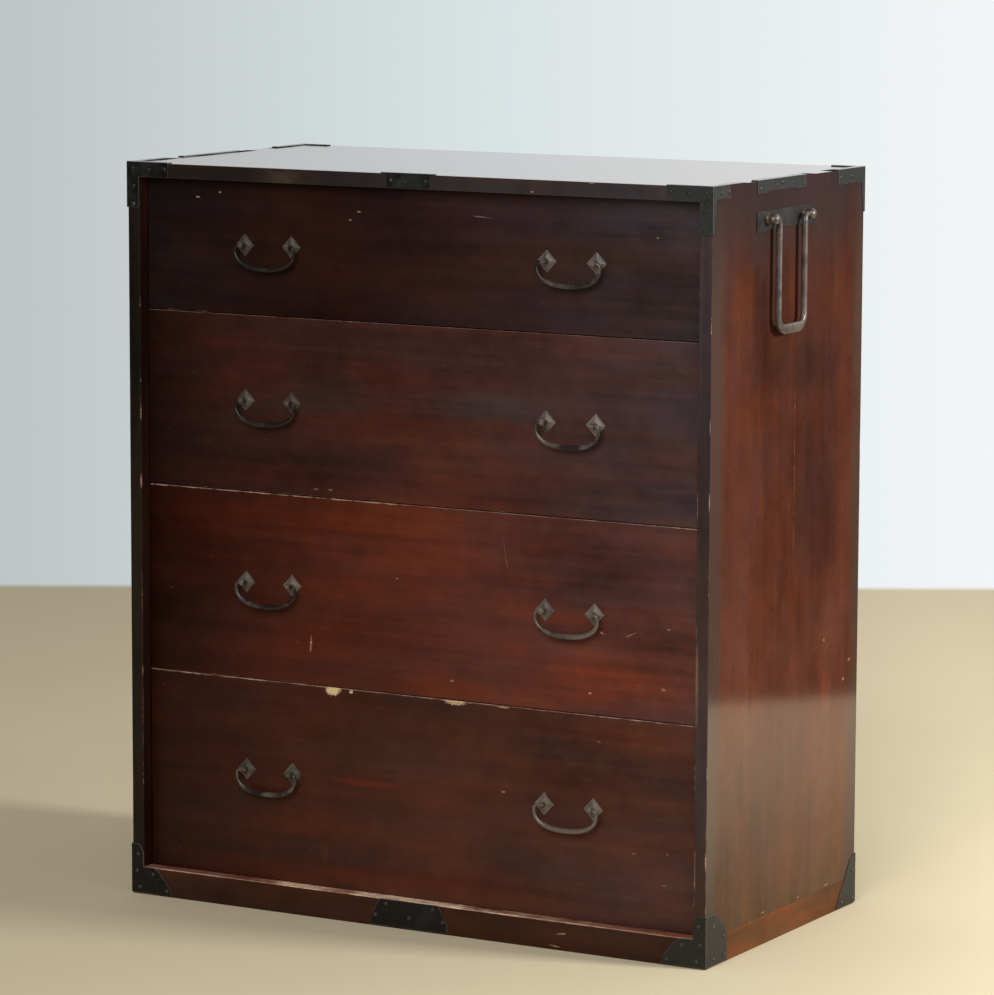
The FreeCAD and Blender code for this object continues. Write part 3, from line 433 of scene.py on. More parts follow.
side_lacquer = {}
for hand, sign in HANDS:
    node = "side_panel_" + hand
    chips, glows = (placed(marks, 0, sign * HALF_WIDTH) for marks in (SIDE_CHIPS, SIDE_GLOWS))
    side_lacquer[hand] = lacquer("side lacquer " + hand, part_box(node), SIDE_TONES, 2, 2, 2.0 + sign,
                                 bare=(0, sign * (SIDE_INSIDE + LACQUER_EDGE), -sign),
                                 chips=chips, glows=glows, flat_axis=0, polished=True, grime=SIDE_GRIME,
                                 hidden=((0, -sign), (1, -1), (2, -1), (2, 1)), rubbed=0.8,
                                 lines=open_joint, gloss=0.4, streaks=0.4, hues=0.5,
                                 Specular_IOR_Level=0.0, Coat_Roughness=0.085, Coat_IOR=1.5)
    side = finished(node, 0.0003, side_lacquer[hand], glued_y=DRAWER_FACE_Y)


# Front stiles. A post is glued over the front edge of each side, and the drawer fronts stand
# back between the two. The posts carry the same lacquer, bluer upwards and redder at the foot,
# and their inner and outer arrises are rubbed pale in places.

def stile_wear(spans):
    """Rubbed stretches of the front arrises, spans of (x, lowest z, highest z, half width, strength)."""
    def lines(x_y_z, ragged):
        x, y, z = x_y_z
        mask = None
        for at, low, high, half_width, strength in spans:
            off_line = x.off(at).most(y - FRONT_Y)
            reach = z.ease(low - 0.006, low + 0.006).least(z.ease(high + 0.006, high - 0.006))
            line = (off_line + ragged * 0.0022).ease(half_width + 0.0014, half_width + 0.0004)
            line = line * reach * strength
            mask = line if mask is None else mask.most(line)
        return mask
    return lines


# Painted shade: the left post is darker than the right one, as the light falls off away from the window on
# the right.
STILE_TONES_AND_SHADE = {
    "left": ((41, 22, 17), (28, 20, 15), [
        (-0.441, 0.590, 0.604, 0.0022, 0.6), (-0.441, 0.320, 0.330, 0.0010, 0.6),
        (-0.441, 0.22, 0.30, 0.0006, 0.4), (-0.441, 0.40, 0.47, 0.0005, 0.4),
        (-0.46, 0.70, 0.712, 0.0010, 0.6)]),
    "right": ((40, 26, 22), (55, 43, 43), [
        (0.441, 0.610, 0.640, 0.0012, 0.5), (0.441, 0.448, 0.464, 0.0012, 0.4),
        (0.4430, 0.33, 0.44, 0.0022, 0.22), (0.4425, 0.11, 0.16, 0.0012, 0.3),
        (0.46, 0.724, 0.740, 0.0014, 0.7), (0.46, 0.622, 0.641, 0.0016, 0.7),
        (0.46, 0.138, 0.157, 0.0020, 0.8), (0.46, 0.10, 0.215, 0.0007, 0.5),
        (0.46, 0.84, 0.90, 0.0003, 0.4), (0.46, 0.80, 0.82, 0.0004, 0.5),
        (0.46, 0.50, 0.56, 0.0004, 0.5), (0.46, 0.22, 0.30, 0.0004, 0.4)]),
}
for hand, sign in HANDS:
    inner, tone, spans = STILE_TONES_AND_SHADE[hand]
    node = "front_stile_" + hand
    across = [(0.0, inner), (0.02, inner), (0.06, tone), (1.0, tone)]
    if sign < 0:
        across = [(round(1 - at, 3), tint) for at, tint in reversed(across)]
    stile_lacquer = lacquer("stile lacquer " + hand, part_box(node), across, 0, 2, 21.0,
                            lines=stile_wear(spans), gloss=0.34, rubbed=0.4, blueing=0.08,
                            hidden=((1, 1), (2, -1), (2, 1)), Specular_IOR_Level=0.2)
    stile = finished(node, 0.0009, stile_lacquer, ends=tuple(side_lacquer.values()), glued_y=DRAWER_FACE_Y)


# Top of the case. One board, finger-jointed over the sides, with the glossiest lacquer of the
# chest, which at a low angle mirrors the wall behind; its front edge is dark and rubbed, and
# painted darker towards the left as shade away from the window on the right.

def top_edge_wear(x_y_z, ragged):
    """The slightly paler patch near the left of the front edge."""
    patch = x_y_z[0].off(-0.2).ease(0.07, 0.0)
    return patch * x_y_z[1].ease(FRONT_Y + 0.0010, FRONT_Y + 0.0003) * (0.03 + ragged * 0.07)


top_low, top_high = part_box("top_panel")
TOP_TONES = [(0.0, (78, 49, 41)), (1.0, (80, 50, 42))]
TOP_CHIPS = [((0.189, FRONT_Y, 1.0315), 0.003, 0.001, 0), ((0.28, FRONT_Y, 1.047), 0.004, 0.0012, 0)]
top_lacquer = lacquer("top lacquer", (top_low, top_high), TOP_TONES, 0, 0, 33.0,
                      # Painted shade: the front edge's tones darken towards the left.
                      front=[(0.0, (31, 25, 23)), (0.3, (33, 26, 24)), (1.0, (62, 55, 56))],
                      bare=(2, top_low.z + LACQUER_EDGE, -1), lines=top_edge_wear, hidden=((2, -1),),
                      rubbed=0.5, chips=TOP_CHIPS, gloss=0.12, streaks=0.4,
                      Coat_Weight=1.0, Coat_Roughness=0.10, Coat_IOR=1.7)
top = finished("top_panel", 0.0003, top_lacquer, ends=tuple(side_lacquer.values()))


# Base rails. Four rails halved over each other at the corners carry the case; the front one makes
# the ledge below the lowest drawer, and years of drawers and feet have worn it to bare wood.

RAIL_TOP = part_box("base_rail_front")[1].z
RAIL_CHIPS = [((0.240, FRONT_Y, 0.0234), 0.008, 0.0012, -8), ((0.229, FRONT_Y, 0.0054), 0.009, 0.001, 5)]


def ledge_wear_and_highlight(x_y_z, ragged):
    """The worn ledge: the rail's upper face in front of the drawers, palest near the middle and
    along its arris, where the pale line is partly wear and partly a painted highlight."""
    x, y, z = x_y_z
    upper = z.ease(RAIL_TOP - 0.0012, RAIL_TOP - 0.0003)
    middle = x.off(0.02).ease(0.35, 0.02)
    on_ledge = x.add("CombineXYZ", inputs={0: x, 1: y})
    patches = on_ledge.noise((22.0, 90.0, 1.0), 3.0, 4.0, 0.7).ease(0.38, 0.58)
    beside_plate = x.off(-0.01).ease(0.10, 0.06).most(x.off(-0.184).ease(0.05, 0.02))
    # Partly a painted highlight: the pale line along the ledge's arris.
    arris = y.ease(FRONT_Y + 0.005, FRONT_Y + 0.002)
    rubbed = (middle * 0.5 + 0.1) * patches + arris * 0.4 + beside_plate * 0.8 + ragged * 0.1
    return upper * rubbed.least(1.0)


rail_lacquer = lacquer("front rail lacquer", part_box("base_rail_front"),
                       [(0.0, (106, 52, 38)), (1.0, (122, 62, 44))], 0, 0, 41.0,
                       front=[(0.0, (57, 29, 17)), (1.0, (50, 26, 15))], lines=ledge_wear_and_highlight, chips=RAIL_CHIPS,
                       # Painted light: the ledge's rubbed wood is painted paler to stand in for light that
                       # the chest keeps off the ledge.
                       rubbed=0.8, rubbed_tones=((140, 98, 76), (232, 200, 170)),
                       hidden=((1, 1), (2, -1)), gloss=0.36, Specular_IOR_Level=0.15)
rail = finished("base_rail_front", 0.0009, rail_lacquer)
OTHER_RAILS = (("base_rail_left", 1), ("base_rail_right", 1), ("base_rail_back", 0))
for number, (node, grain_axis) in enumerate(OTHER_RAILS):
    rail_lacquer = lacquer("rail lacquer {}".format(number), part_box(node),
                           [(0.0, (89, 50, 23)), (1.0, (84, 47, 22))], 2, grain_axis, 43.0 + number,
                           rubbed=0.8, gloss=0.4, Specular_IOR_Level=0.1)
    rail = finished(node, 0.0009, rail_lacquer)


# Boards behind the drawers: shelves and a bottom housed in the sides, and lapped back boards,
# all of bare paulownia, planed, pale honey brown, and darkened by smoke and age.

def paulownia(name, grain_axis, seed, tone):
    """Bare planed wood: close growth lines drawn out along the grain, and broad darker clouds."""
    material, shader, place = new_finish(name)
    cells = [42.0] * 3
    cells[grain_axis] = 1.6
    growth = place.noise(tuple(cells), seed, 5.0, 0.62)
    cloud = place.noise(5.0, seed + 4.0, 3.0, 0.6)
    colour = growth.ease(0.25, 0.75).blend(seen(*(0.84 * part for part in tone)), seen(*tone))
    colour = colour.scaled(0.72 + cloud * 0.56)
    join_finish(shader, colour, 0.55 + growth * 0.25, growth, 0.0003)
    return material


def coated(node, material):
    """Gives a CAD node its finish in every one of its material slots."""
    for slot in frame["nodes"][node].material_slots:
        slot.material = material


shelf_wood = paulownia("shelf paulownia", 0, 51.0, (150, 118, 84))
back_wood = paulownia("back paulownia", 2, 53.0, (132, 104, 76))
for node in ("divider_board_1", "divider_board_2", "divider_board_3", "bottom_panel"):
    coated(node, shelf_wood)
coated("back_boards", back_wood)


# Drawers. Each is a paulownia box with finger joints behind a lacquered front board, whose grain
# lies level. The fronts go from near black at the left to paler at the right, partly painted shade
# that deepens away from the window on the right, and the arrises along the seams are rubbed down
# to bare wood, most of all under the second and third drawer.

# Painted shade: each ramp darkens towards the left, away from the window on the right, and the top drawer's
# is darker throughout as shade under the top; the hues along them are the lacquer's own.
DRAWER_TONES_AND_SHADE = {
    1: [(0.0, (27, 17, 15)), (0.35, (38, 17, 13)), (0.7, (46, 29, 27)), (1.0, (57, 46, 47))],
    2: [(0.0, (28, 12, 9)), (0.3, (62, 31, 23)), (0.5, (70, 38, 30)), (0.7, (68, 39, 33)),
        (1.0, (68, 48, 47))],
    3: [(0.0, (34, 10, 4)), (0.3, (69, 29, 17)), (0.7, (84, 41, 30)), (1.0, (84, 50, 44))],
    4: [(0.0, (36, 13, 8)), (0.3, (60, 28, 17)), (0.7, (66, 36, 26)), (1.0, (69, 41, 34))],
}
DRAWER_GLOWS = {
    1: [(-0.3, 0.92, 0.1, 0.05, (0.85, 0.98, 1.05)), (0.05, 0.99, 0.12, 0.04, (1.2, 1.0, 0.95))],
    2: [(0.05, 0.615, 0.25, 0.03, (1.22, 1.03, 0.9)), (-0.3, 0.78, 0.10, 0.05, (1.12, 1.0, 0.92)),
        (-0.05, 0.74, 0.1, 0.06, (1.2, 1.02, 0.95)), (0.2, 0.68, 0.14, 0.05, (0.95, 1.02, 1.08)),
        (-0.163, 0.728, 0.12, 0.035, (0.82, 1.2, 1.35)), (0.124, 0.733, 0.12, 0.03, (0.82, 1.2, 1.35)),
        (0.4, 0.77, 0.06, 0.09, (0.9, 1.03, 1.1))],
    3: [(-0.1, 0.57, 0.3, 0.03, (1.2, 1.13, 0.92)), (0.3, 0.37, 0.16, 0.04, (1.4, 1.05, 0.85)),
        (0.03, 0.42, 0.2, 0.03, (1.15, 1.0, 0.9)), (0.25, 0.5, 0.12, 0.05, (0.92, 1.03, 1.1))],
    4: [(-0.085, 0.195, 0.075, 0.007, (1.7, 1.1, 0.9)), (0.3, 0.3, 0.2, 0.03, (1.25, 1.03, 0.9)),
        (-0.15, 0.09, 0.012, 0.022, (1.4, 1.3, 1.3)), (0.0, 0.06, 0.4, 0.025, (1.15, 0.95, 0.8)),
        (-0.2, 0.24, 0.15, 0.04, (0.9, 1.03, 1.08))],
}
DRAWER_CHIPS = {
    1: [(-0.093, 0.992, 0.003, 0.001, 0), (-0.107, 0.980, 0.002, 0.001, 0),
        (-0.3195, 1.010, 0.0022, 0.0013, 0), (-0.356, 1.002, 0.0035, 0.0012, 10),
        (0.0996, 0.993, 0.012, 0.0007, 3), (0.369, 0.9765, 0.002, 0.0014, 0)],
    2: [(-0.163, 0.6035, 0.0035, 0.0012, 0), (-0.140, 0.6038, 0.003, 0.001, 0)],
    3: [(-0.1718, 0.3845, 0.0016, 0.0105, 3), (0.139, 0.538, 0.018, 0.0006, 80),
        (0.289, 0.440, 0.003, 0.001, 20), (0.333, 0.441, 0.008, 0.0007, -25),
        (0.391, 0.453, 0.003, 0.001, 0),
        (0.2715, 0.356, 0.0025, 0.0014, 0), (0.3825, 0.371, 0.003, 0.0012, 0),
        (0.056, 0.353, 0.003, 0.0014, 0), (-0.032, 0.488, 0.002, 0.0012, 0)],
    4: [(0.286, 0.290, 0.003, 0.001, 15), (0.137, 0.206, 0.003, 0.0011, 0),
        (0.391, 0.146, 0.0016, 0.0013, 0),
        (0.3405, 0.142, 0.004, 0.0008, -10), (0.387, 0.103, 0.004, 0.001, 0),
        (-0.1365, 0.3235, 0.0115, 0.009, 0), (0.0615, 0.3235, 0.016, 0.0035, 0),
        (-0.106, 0.3225, 0.003, 0.0025, 0), (0.137, 0.3245, 0.011, 0.0018, 0)],
}
# The last number of each drawer is pale dust on its top edge, together with painted light that brightens
# the gap between the drawers.
SEAM_WEAR = {
    1: ([(0.0, 0.0), (1.0, 0.0)], [(0.0, 0.0), (1.0, 0.0)], 0.0),
    2: ([(0.0, 0.0), (0.04, 0.12), (0.3, 0.0), (1.0, 0.05)],
        [(0.0, 0.1), (0.3, 0.3), (0.48, 0.1), (1.0, 0.0)], 0.45),
    3: ([(0.0, 0.8), (0.2, 0.7), (0.45, 0.75), (0.5, 0.25), (0.75, 0.35), (0.85, 0.3), (0.97, 0.6),
         (1.0, 0.3)],
        [(0.0, 0.2), (0.3, 0.3), (0.5, 0.1), (1.0, 0.0)], 0.8),
    4: ([(0.0, 0.8), (0.2, 0.7), (0.4, 0.35), (0.55, 0.6), (0.6, 0.7), (0.7, 0.5), (0.85, 0.6),
         (0.95, 0.7), (1.0, 0.4)],
        [(0.0, 0.0), (0.5, 0.1), (1.0, 0.0)], 1.0),
}


def profile_along(share, shares):
    """A value that changes along the piece, from stops of (share, level)."""
    return share.tones([(at, (level, level, level, 1.0)) for at, level in shares])


def seam_wear(box, upper, lower, dust_and_light):
    """Rubbed upper and lower arrises: how far the wear reaches onto the front goes by a profile
    along x, broken into dashes. On the board's top edge lies pale dust, with painted light that brightens
    the gap between the drawers."""
    low, high = box

    def lines(x_y_z, ragged):
        x, y, z = x_y_z
        share = (x - low.x) * (1 / (high.x - low.x))
        dashes = x.add("CombineXYZ", inputs={0: x}).noise((60.0, 1.0, 1.0), high.z, 3.0, 0.7)
        # Pale dust and painted light on the top edge, in the gap between the drawers.
        worn = z.ease(high.z - 0.0006, high.z - 0.0002) * dust_and_light
        for profile, from_edge in ((upper, high.z - z), (lower, z - low.z)):
            level = profile_along(share, profile) * dashes.ease(0.25, 0.60)
            line = (from_edge + ragged * 0.0008 - level * 0.0020).ease(0.0006, 0.0)
            worn = worn.most(line * level.ease(0.05, 0.5))
        return worn * 0.75
    return lines


wall_wood = paulownia("drawer paulownia", 1, 57.0, (176, 142, 100))
base_wood = paulownia("drawer base paulownia", 0, 59.0, (164, 130, 92))
for number, tones in DRAWER_TONES_AND_SHADE.items():
    body = "drawer_{}".format(number)
    node = body + "_front"
    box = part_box(node)
    chips, glows = (placed(marks[number], 1, DRAWER_FACE_Y) for marks in (DRAWER_CHIPS, DRAWER_GLOWS))
    front_lacquer = lacquer("front lacquer {}".format(number), box, tones, 0, 0, 60.0 + 7 * number,
                            bare=(1, box[1].y - 0.0003, 1), chips=chips, glows=glows, rubbed=0.15,
                            hidden=((0, -1), (0, 1), (1, 1)), lines=seam_wear(box, *SEAM_WEAR[number]),
                            gloss=0.33, streaks=0.7, Specular_IOR_Level=0.15)
    front = finished(node, 0.0004, front_lacquer)
    for wall in ("_side_left", "_side_right"):
        coated(body + wall, wall_wood)
    coated(body + "_back", base_wood)
    coated(body + "_bottom", base_wood)


# Sheet irons. Thin hand-cut sheet, blackened and oiled, folded round the corners and edges and
# nailed on. It is nearly black, with specks of rust, and its cut edges are rubbed to brighter metal.

IRON_TOP = cad_high[2]
SHEET_FACE = 0.0004
RUST = (74, 48, 34)


def iron(name, dark, pale, seed, gloss, metal, hammer_cells, hammer_depth, window=0.0, lifted=0.0,
         sheet=False):
    """Blackened iron: clouds from dark to pale, brown specks of rust, and a hammered relief.
    window is painted light: how much paler it is towards the window at the right-hand end. lifted is
    how much paler it is upwards, and near the floor all of it is darker. Sheet on the top of the case
    has been dusted smooth and mirrors the wall, and sheet on the sides is painted darker, as painted shade."""
    material, shader, place = new_finish(name)
    cloud = place.noise(28.0, seed, 4.0, 0.65)
    specks = place.noise(420.0, seed + 5.0, 2.0, 0.6)
    dents = place.noise(hammer_cells, seed + 8.0, 2.0, 0.5)
    x, y, z = place.parts()
    # Painted light: window adds paleness towards the window at the right-hand end.
    share = cloud + (x.ease(-0.1, 0.46) - 0.4) * window + (z - 0.5) * lifted
    colour = share.ease(0.32, 0.68).blend(seen(*dark), seen(*pale))
    colour = z.ease(0.2, 1.0).blend(colour, colour.tinted((0.98, 1.01, 1.05)))
    colour = z.ease(0.06, 0.15).blend(colour.scaled(0.45), colour)
    if sheet:
        # Painted shade: sheet on the sides of the case is darkened.
        shaded_side = x.off(0.0).ease(HALF_WIDTH - 0.0001, HALF_WIDTH + SHEET_FACE)
        colour = shaded_side.blend(colour, colour.scaled(0.74))
    rust = specks.ease(0.56, 0.70) * cloud.ease(0.6, 0.4)
    colour = (rust * 0.6).blend(colour, seen(*RUST))
    join_finish(shader, colour, gloss + (specks - 0.5) * 0.3 + rust * 0.2, dents + specks * 0.12,
                hammer_depth, metallic=metal - rust * 0.5, Coat_Roughness=0.12, Coat_IOR=1.7)
    if sheet:
        on_top = z.ease(IRON_TOP - 0.001, IRON_TOP - 0.0006)
        shader.id_data.links.new(on_top.socket, shader.inputs["Coat Weight"])
    return material


# window=0.28 paints light on the sheet towards the right-hand end.
sheet_iron = iron("blackened sheet iron", (5, 5, 4), (45, 46, 44), 71.0, 0.46, 0.3, 60.0, 0.0005,
                  window=0.28, lifted=0.06, sheet=True)
rubbed_iron = {
    "top": iron("rubbed top iron edge", (36, 36, 33), (82, 80, 72), 73.0, 0.4, 0.3, 60.0, 0.0003,
                sheet=True),
    "base": iron("rubbed base iron edge", (88, 88, 80), (150, 148, 134), 75.0, 0.4, 0.3, 60.0, 0.0003),
}
for node in ("top_corner_iron_front_left", "top_corner_iron_front_right", "top_corner_irons_rear",
             "top_edge_irons", "top_centre_plate", "base_corner_iron_front_left",
             "base_corner_iron_front_right", "base_corner_irons_rear", "base_centre_plate"):
    plate = finished(node, 0.0005, sheet_iron, edges=rubbed_iron[node.split("_")[0]])


# Nails of the irons. Short forged nails with low domed heads, driven through the sheet into the
# boards, their heads rubbed brighter than the sheet.

def mesh_piece(name, surfaces, material, body, nodes):
    """A piece from surfaces of (points, faces), with its faces turned outwards, in place of CAD nodes."""
    points, faces, start = [], [], 0
    for surface_points, surface_faces in surfaces:
        points.extend(surface_points.tolist())
        faces.extend([tuple(corner + start for corner in face) for face in surface_faces])
        start += len(surface_points)
    mesh = bpy.data.meshes.new(name)
    mesh.from_pydata(points, [], faces)
    turned = bmesh.new()
    turned.from_mesh(mesh)
    bmesh.ops.recalc_face_normals(turned, faces=turned.faces)
    turned.to_mesh(mesh)
    turned.free()
    mesh.materials.append(material)
    mesh.shade_smooth()
    piece = bpy.data.objects.new(name, mesh)
    bpy.context.scene.collection.objects.link(piece)
    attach(piece, body)
    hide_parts(*nodes)
    return piece


def lofted(rings):
    """A closed skin over rings of points, an array of rows by columns by 3, capped at both ends."""
    rows, columns = rings.shape[:2]
    place = np.arange(rows * columns).reshape(rows, columns)
    beside = np.roll(place, -1, axis=1)
    quads = np.stack((place[:-1], beside[:-1], beside[1:], place[1:]), -1).reshape(-1, 4)
    return rings.reshape(-1, 3), quads.tolist() + [place[0].tolist(), place[-1].tolist()]


def turned_profile(steps, seat, axis, sides):
    """A turned shape: at each (height, radius) of the profile, a circle square to the axis at the seat."""
    axis = np.array(axis, float)
    across = np.roll(axis, 1)
    up = np.cross(axis, across)
    turn = 2 * pi * np.arange(sides) / sides
    circle = np.outer(np.cos(turn), across) + np.outer(np.sin(turn), up)
    height, radius = np.array(steps).T
    return np.array(seat) + height[:, None, None] * axis + radius[:, None, None] * circle


nail_iron = iron("nail iron", (38, 38, 36), (86, 84, 76), 77.0, 0.42, 0.3, 200.0, 0.0003, lifted=-0.3)
NAIL_DOME = [(0.0, 1.0), (0.35, 0.96), (0.7, 0.74), (0.93, 0.40), (1.0, 0.12)]
NAIL_SIDES = 10
CORNERS_PER_NAIL = 36
nail_mesh = frame["nodes"]["iron_nails"].data
corners = np.zeros(3 * len(nail_mesh.vertices), np.float32)
nail_mesh.vertices.foreach_get("co", corners)
heads = corners.reshape(-1, CORNERS_PER_NAIL, 3)
nails = []
for low, high in zip(heads.min(1), heads.max(1)):
    thin = int(np.argmin(high - low))
    middle = (low + high) / 2
    outward = 1.0 if middle[thin] > 0 else -1.0
    axis = np.zeros(3)
    axis[thin] = outward
    seat = middle.copy()
    seat[thin] = low[thin] if outward > 0 else high[thin]
    dome = np.array(NAIL_DOME) * ((high - low)[thin], (high - low).max() / 2)
    nails.append(lofted(turned_profile(dome, seat, axis, NAIL_SIDES)))
mesh_piece("nail_heads", nails, nail_iron, "case", ["iron_nails"])


# Rosettes and eyes of the drawer pulls. A rosette is a diamond of sheet iron raised to a low
# pyramid with a flat top; an eye, a strap bent round the pin of the bail, goes through it and the
# drawer front and is clinched inside.

# window=0.2 on the rosettes and their edges paints light towards the right-hand end.
rosette_iron = iron("rosette iron", (69, 60, 54), (119, 107, 98), 81.0, 0.42, 0.3, 140.0, 0.0004,
                    window=0.2)
rosette_edge = iron("rosette edge iron", (82, 72, 65), (138, 126, 115), 83.0, 0.38, 0.35, 140.0, 0.0002,
                    window=0.2)
for number in DRAWER_TONES_AND_SHADE:
    rosettes = finished("drawer_{}_rosettes".format(number), 0.00025, rosette_iron, edges=rosette_edge)


# Drawer pulls. Each bail is forged like a bracken shoot: thin pins turned in through the eyes,
# swelling to the middle of a squared half oval that a hand fills. It hangs free and swings.

def forged_bar(pivot, across, out, u, v, du, dv, half_high, half_thick, square, sides=20):
    """A forged bar on a flat path through (u across, v up) from the pivot: at each station a
    section stands square to the path's course (du, dv), its outline the superellipse
    |p / half_high| ** square + |q / half_thick| ** square = 1."""
    across, out, up = np.array(across, float), np.array(out, float), np.array((0.0, 0.0, 1.0))
    course = np.hypot(du, dv)
    normal = (du / course)[:, None] * up - (dv / course)[:, None] * across
    centre = np.array(pivot) + u[:, None] * across + v[:, None] * up
    turn = 2 * pi * (np.arange(sides) + 0.5) / sides
    power = (2 / square)[:, None]
    wide = np.sign(np.cos(turn)) * np.abs(np.cos(turn)) ** power
    deep = np.sign(np.sin(turn)) * np.abs(np.sin(turn)) ** power
    high = half_high[:, None] * wide
    thick = half_thick[:, None] * deep
    return lofted(centre[:, None] + high[:, :, None] * normal[:, None] + thick[:, :, None] * out)


def stations(*columns):
    """Half of a path from its seven columns u, v, du, dv, half_high, half_thick and square, each an
    array or one number for all."""
    return np.stack(np.broadcast_arrays(*columns), -1)


def both_hands(half):
    """The stations of the right-hand half of a path, then the same ones mirrored back to the left."""
    left = half[:-1][::-1] * np.array((-1, 1, 1, -1, 1, 1, 1))
    return np.concatenate((half, left)).T


ROUND = 2.0
TINY = 1e-9
EYE_SPACING = 0.076
BAIL_HALF = 0.0483
BAIL_BEND = 0.005
BAIL_DEPTH = 0.027
BAIL_PIN = 0.0022
BAIL_MIDDLE = 0.0037
BAIL_SQUARENESS = 2.4
pin_reach = np.array((0.0045, 0.0040))
pin_radius = BAIL_PIN * np.array((0.82, 1.0))
pins = stations(EYE_SPACING / 2 - pin_reach, 0.0, 1.0, 0.0, pin_radius, pin_radius, ROUND)
turn = np.linspace(pi / 2, 0, 9)[:-1]
bends = stations(BAIL_HALF + BAIL_BEND * (np.cos(turn) - 1), BAIL_BEND * (np.sin(turn) - 1),
                 np.sin(turn), -np.cos(turn), BAIL_PIN, BAIL_PIN, ROUND)
turn = np.linspace(0, pi / 2, 25)
across, down = np.abs(np.cos(turn)), np.sin(turn)
power = 2 / BAIL_SQUARENESS
swell = BAIL_PIN + (BAIL_MIDDLE - BAIL_PIN) * down
arch = stations(BAIL_HALF * across ** power, -BAIL_BEND - BAIL_DEPTH * down ** power,
                -BAIL_HALF * down ** (2 - power) - TINY, -BAIL_DEPTH * across ** (2 - power),
                swell, swell, ROUND)
bail_path = both_hands(np.concatenate((pins, bends, arch)))
# window=0.3 paints light on the bails towards the right-hand end.
bail_iron = iron("bail iron", (36, 30, 27), (110, 98, 90), 85.0, 0.36, 0.4, 70.0, 0.0006,
                 window=0.3, lifted=-0.4)
for number in DRAWER_TONES_AND_SHADE:
    eye_low, eye_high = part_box("drawer_{}_rosettes".format(number))
    for hand, sign in HANDS:
        node = "drawer_{}_bail_{}".format(number, hand)
        low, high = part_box(node)
        pivot = ((low.x + high.x) / 2, (low.y + high.y) / 2, (eye_low.z + eye_high.z) / 2)
        bail = forged_bar(pivot, (1, 0, 0), (0, 1, 0), *bail_path)
        mesh_piece(node + "_forged", [bail], bail_iron, "pull_{}_{}".format(number, hand),
                   [node])


# Carrying handles. On each side a plate with two turned studs, and between them a bail with long
# legs and a flat bar to grip; its ends, turned out through the studs, let it swing up.

plate_iron = iron("handle plate iron", (23, 23, 20), (47, 46, 41), 91.0, 0.42, 0.3, 60.0, 0.0005)
handle_iron = iron("carrying handle iron", (73, 64, 57), (108, 95, 86), 93.0, 0.38, 0.4, 50.0, 0.0007)
MM = 0.001
PLATE_OUTLINE = MM * np.array([(-88, 11), (88, 11), (88, -17), (52, -17),
                               (46, -14), (-46, -14), (-52, -17), (-88, -17)])
PLATE_RIMS = MM * np.array([(0.0, 0.0), (1.4, 0.0), (1.8, 0.4)])
STUD_SPACING = 112 * MM
STUD_PROFILE = MM * np.array([(1.0, 7.5), (3.0, 7.5), (4.2, 6.6), (6.0, 6.2), (8.0, 6.6),
                              (10.5, 7.3), (12.5, 7.5), (14.5, 7.3), (16.2, 6.4), (17.5, 4.8),
                              (18.35, 3.0), (18.68, 1.2)])
STUD_SIDES = 28
HANDLE_STANDOFF = 10.5 * MM
HANDLE_BELOW_TOP = 51.5 * MM
HANDLE_LEG = 39 * MM
HANDLE_BEND = 9 * MM
HANDLE_CORNER = 17 * MM
LEG_END = 134 * MM
HANDLE_PIN = 3.5 * MM
HANDLE_ROD = 4.4 * MM
GRIP_HALF_HEIGHT = 7.0 * MM
GRIP_HALF_THICKNESS = 3.6 * MM
GRIP_SQUARENESS = 3.4
pin_reach = MM * np.array((65.8, 65.2))
pin_radius = MM * np.array((2.9, 3.5))
pins = stations(pin_reach, 0.0, -1.0, 0.0, pin_radius, pin_radius, ROUND)
turn = np.linspace(pi / 2, pi, 9)
grown = np.linspace(HANDLE_PIN, HANDLE_ROD, 9)
bends = stations(HANDLE_LEG + HANDLE_BEND * (1 + np.cos(turn)), HANDLE_BEND * (np.sin(turn) - 1),
                 -np.sin(turn), np.cos(turn), grown, grown, ROUND)
down = np.linspace(-HANDLE_BEND, -LEG_END, 12)[1:-1]
legs = stations(HANDLE_LEG, down, 0.0, -1.0, HANDLE_ROD, HANDLE_ROD, ROUND)
share = np.linspace(0, 1, 13)
turn = -pi / 2 * share
corners = stations(HANDLE_LEG + HANDLE_CORNER * (np.cos(turn) - 1), HANDLE_CORNER * np.sin(turn) - LEG_END,
                   np.sin(turn), -np.cos(turn), HANDLE_ROD + (GRIP_HALF_HEIGHT - HANDLE_ROD) * share,
                   HANDLE_ROD + (GRIP_HALF_THICKNESS - HANDLE_ROD) * share,
                   ROUND + (GRIP_SQUARENESS - ROUND) * share)
grip = stations(MM * np.array((11.0, 0.0)), -LEG_END - HANDLE_CORNER, -1.0, 0.0,
                GRIP_HALF_HEIGHT, GRIP_HALF_THICKNESS, GRIP_SQUARENESS)
handle_path = both_hands(np.concatenate((pins, bends, legs, corners, grip)))
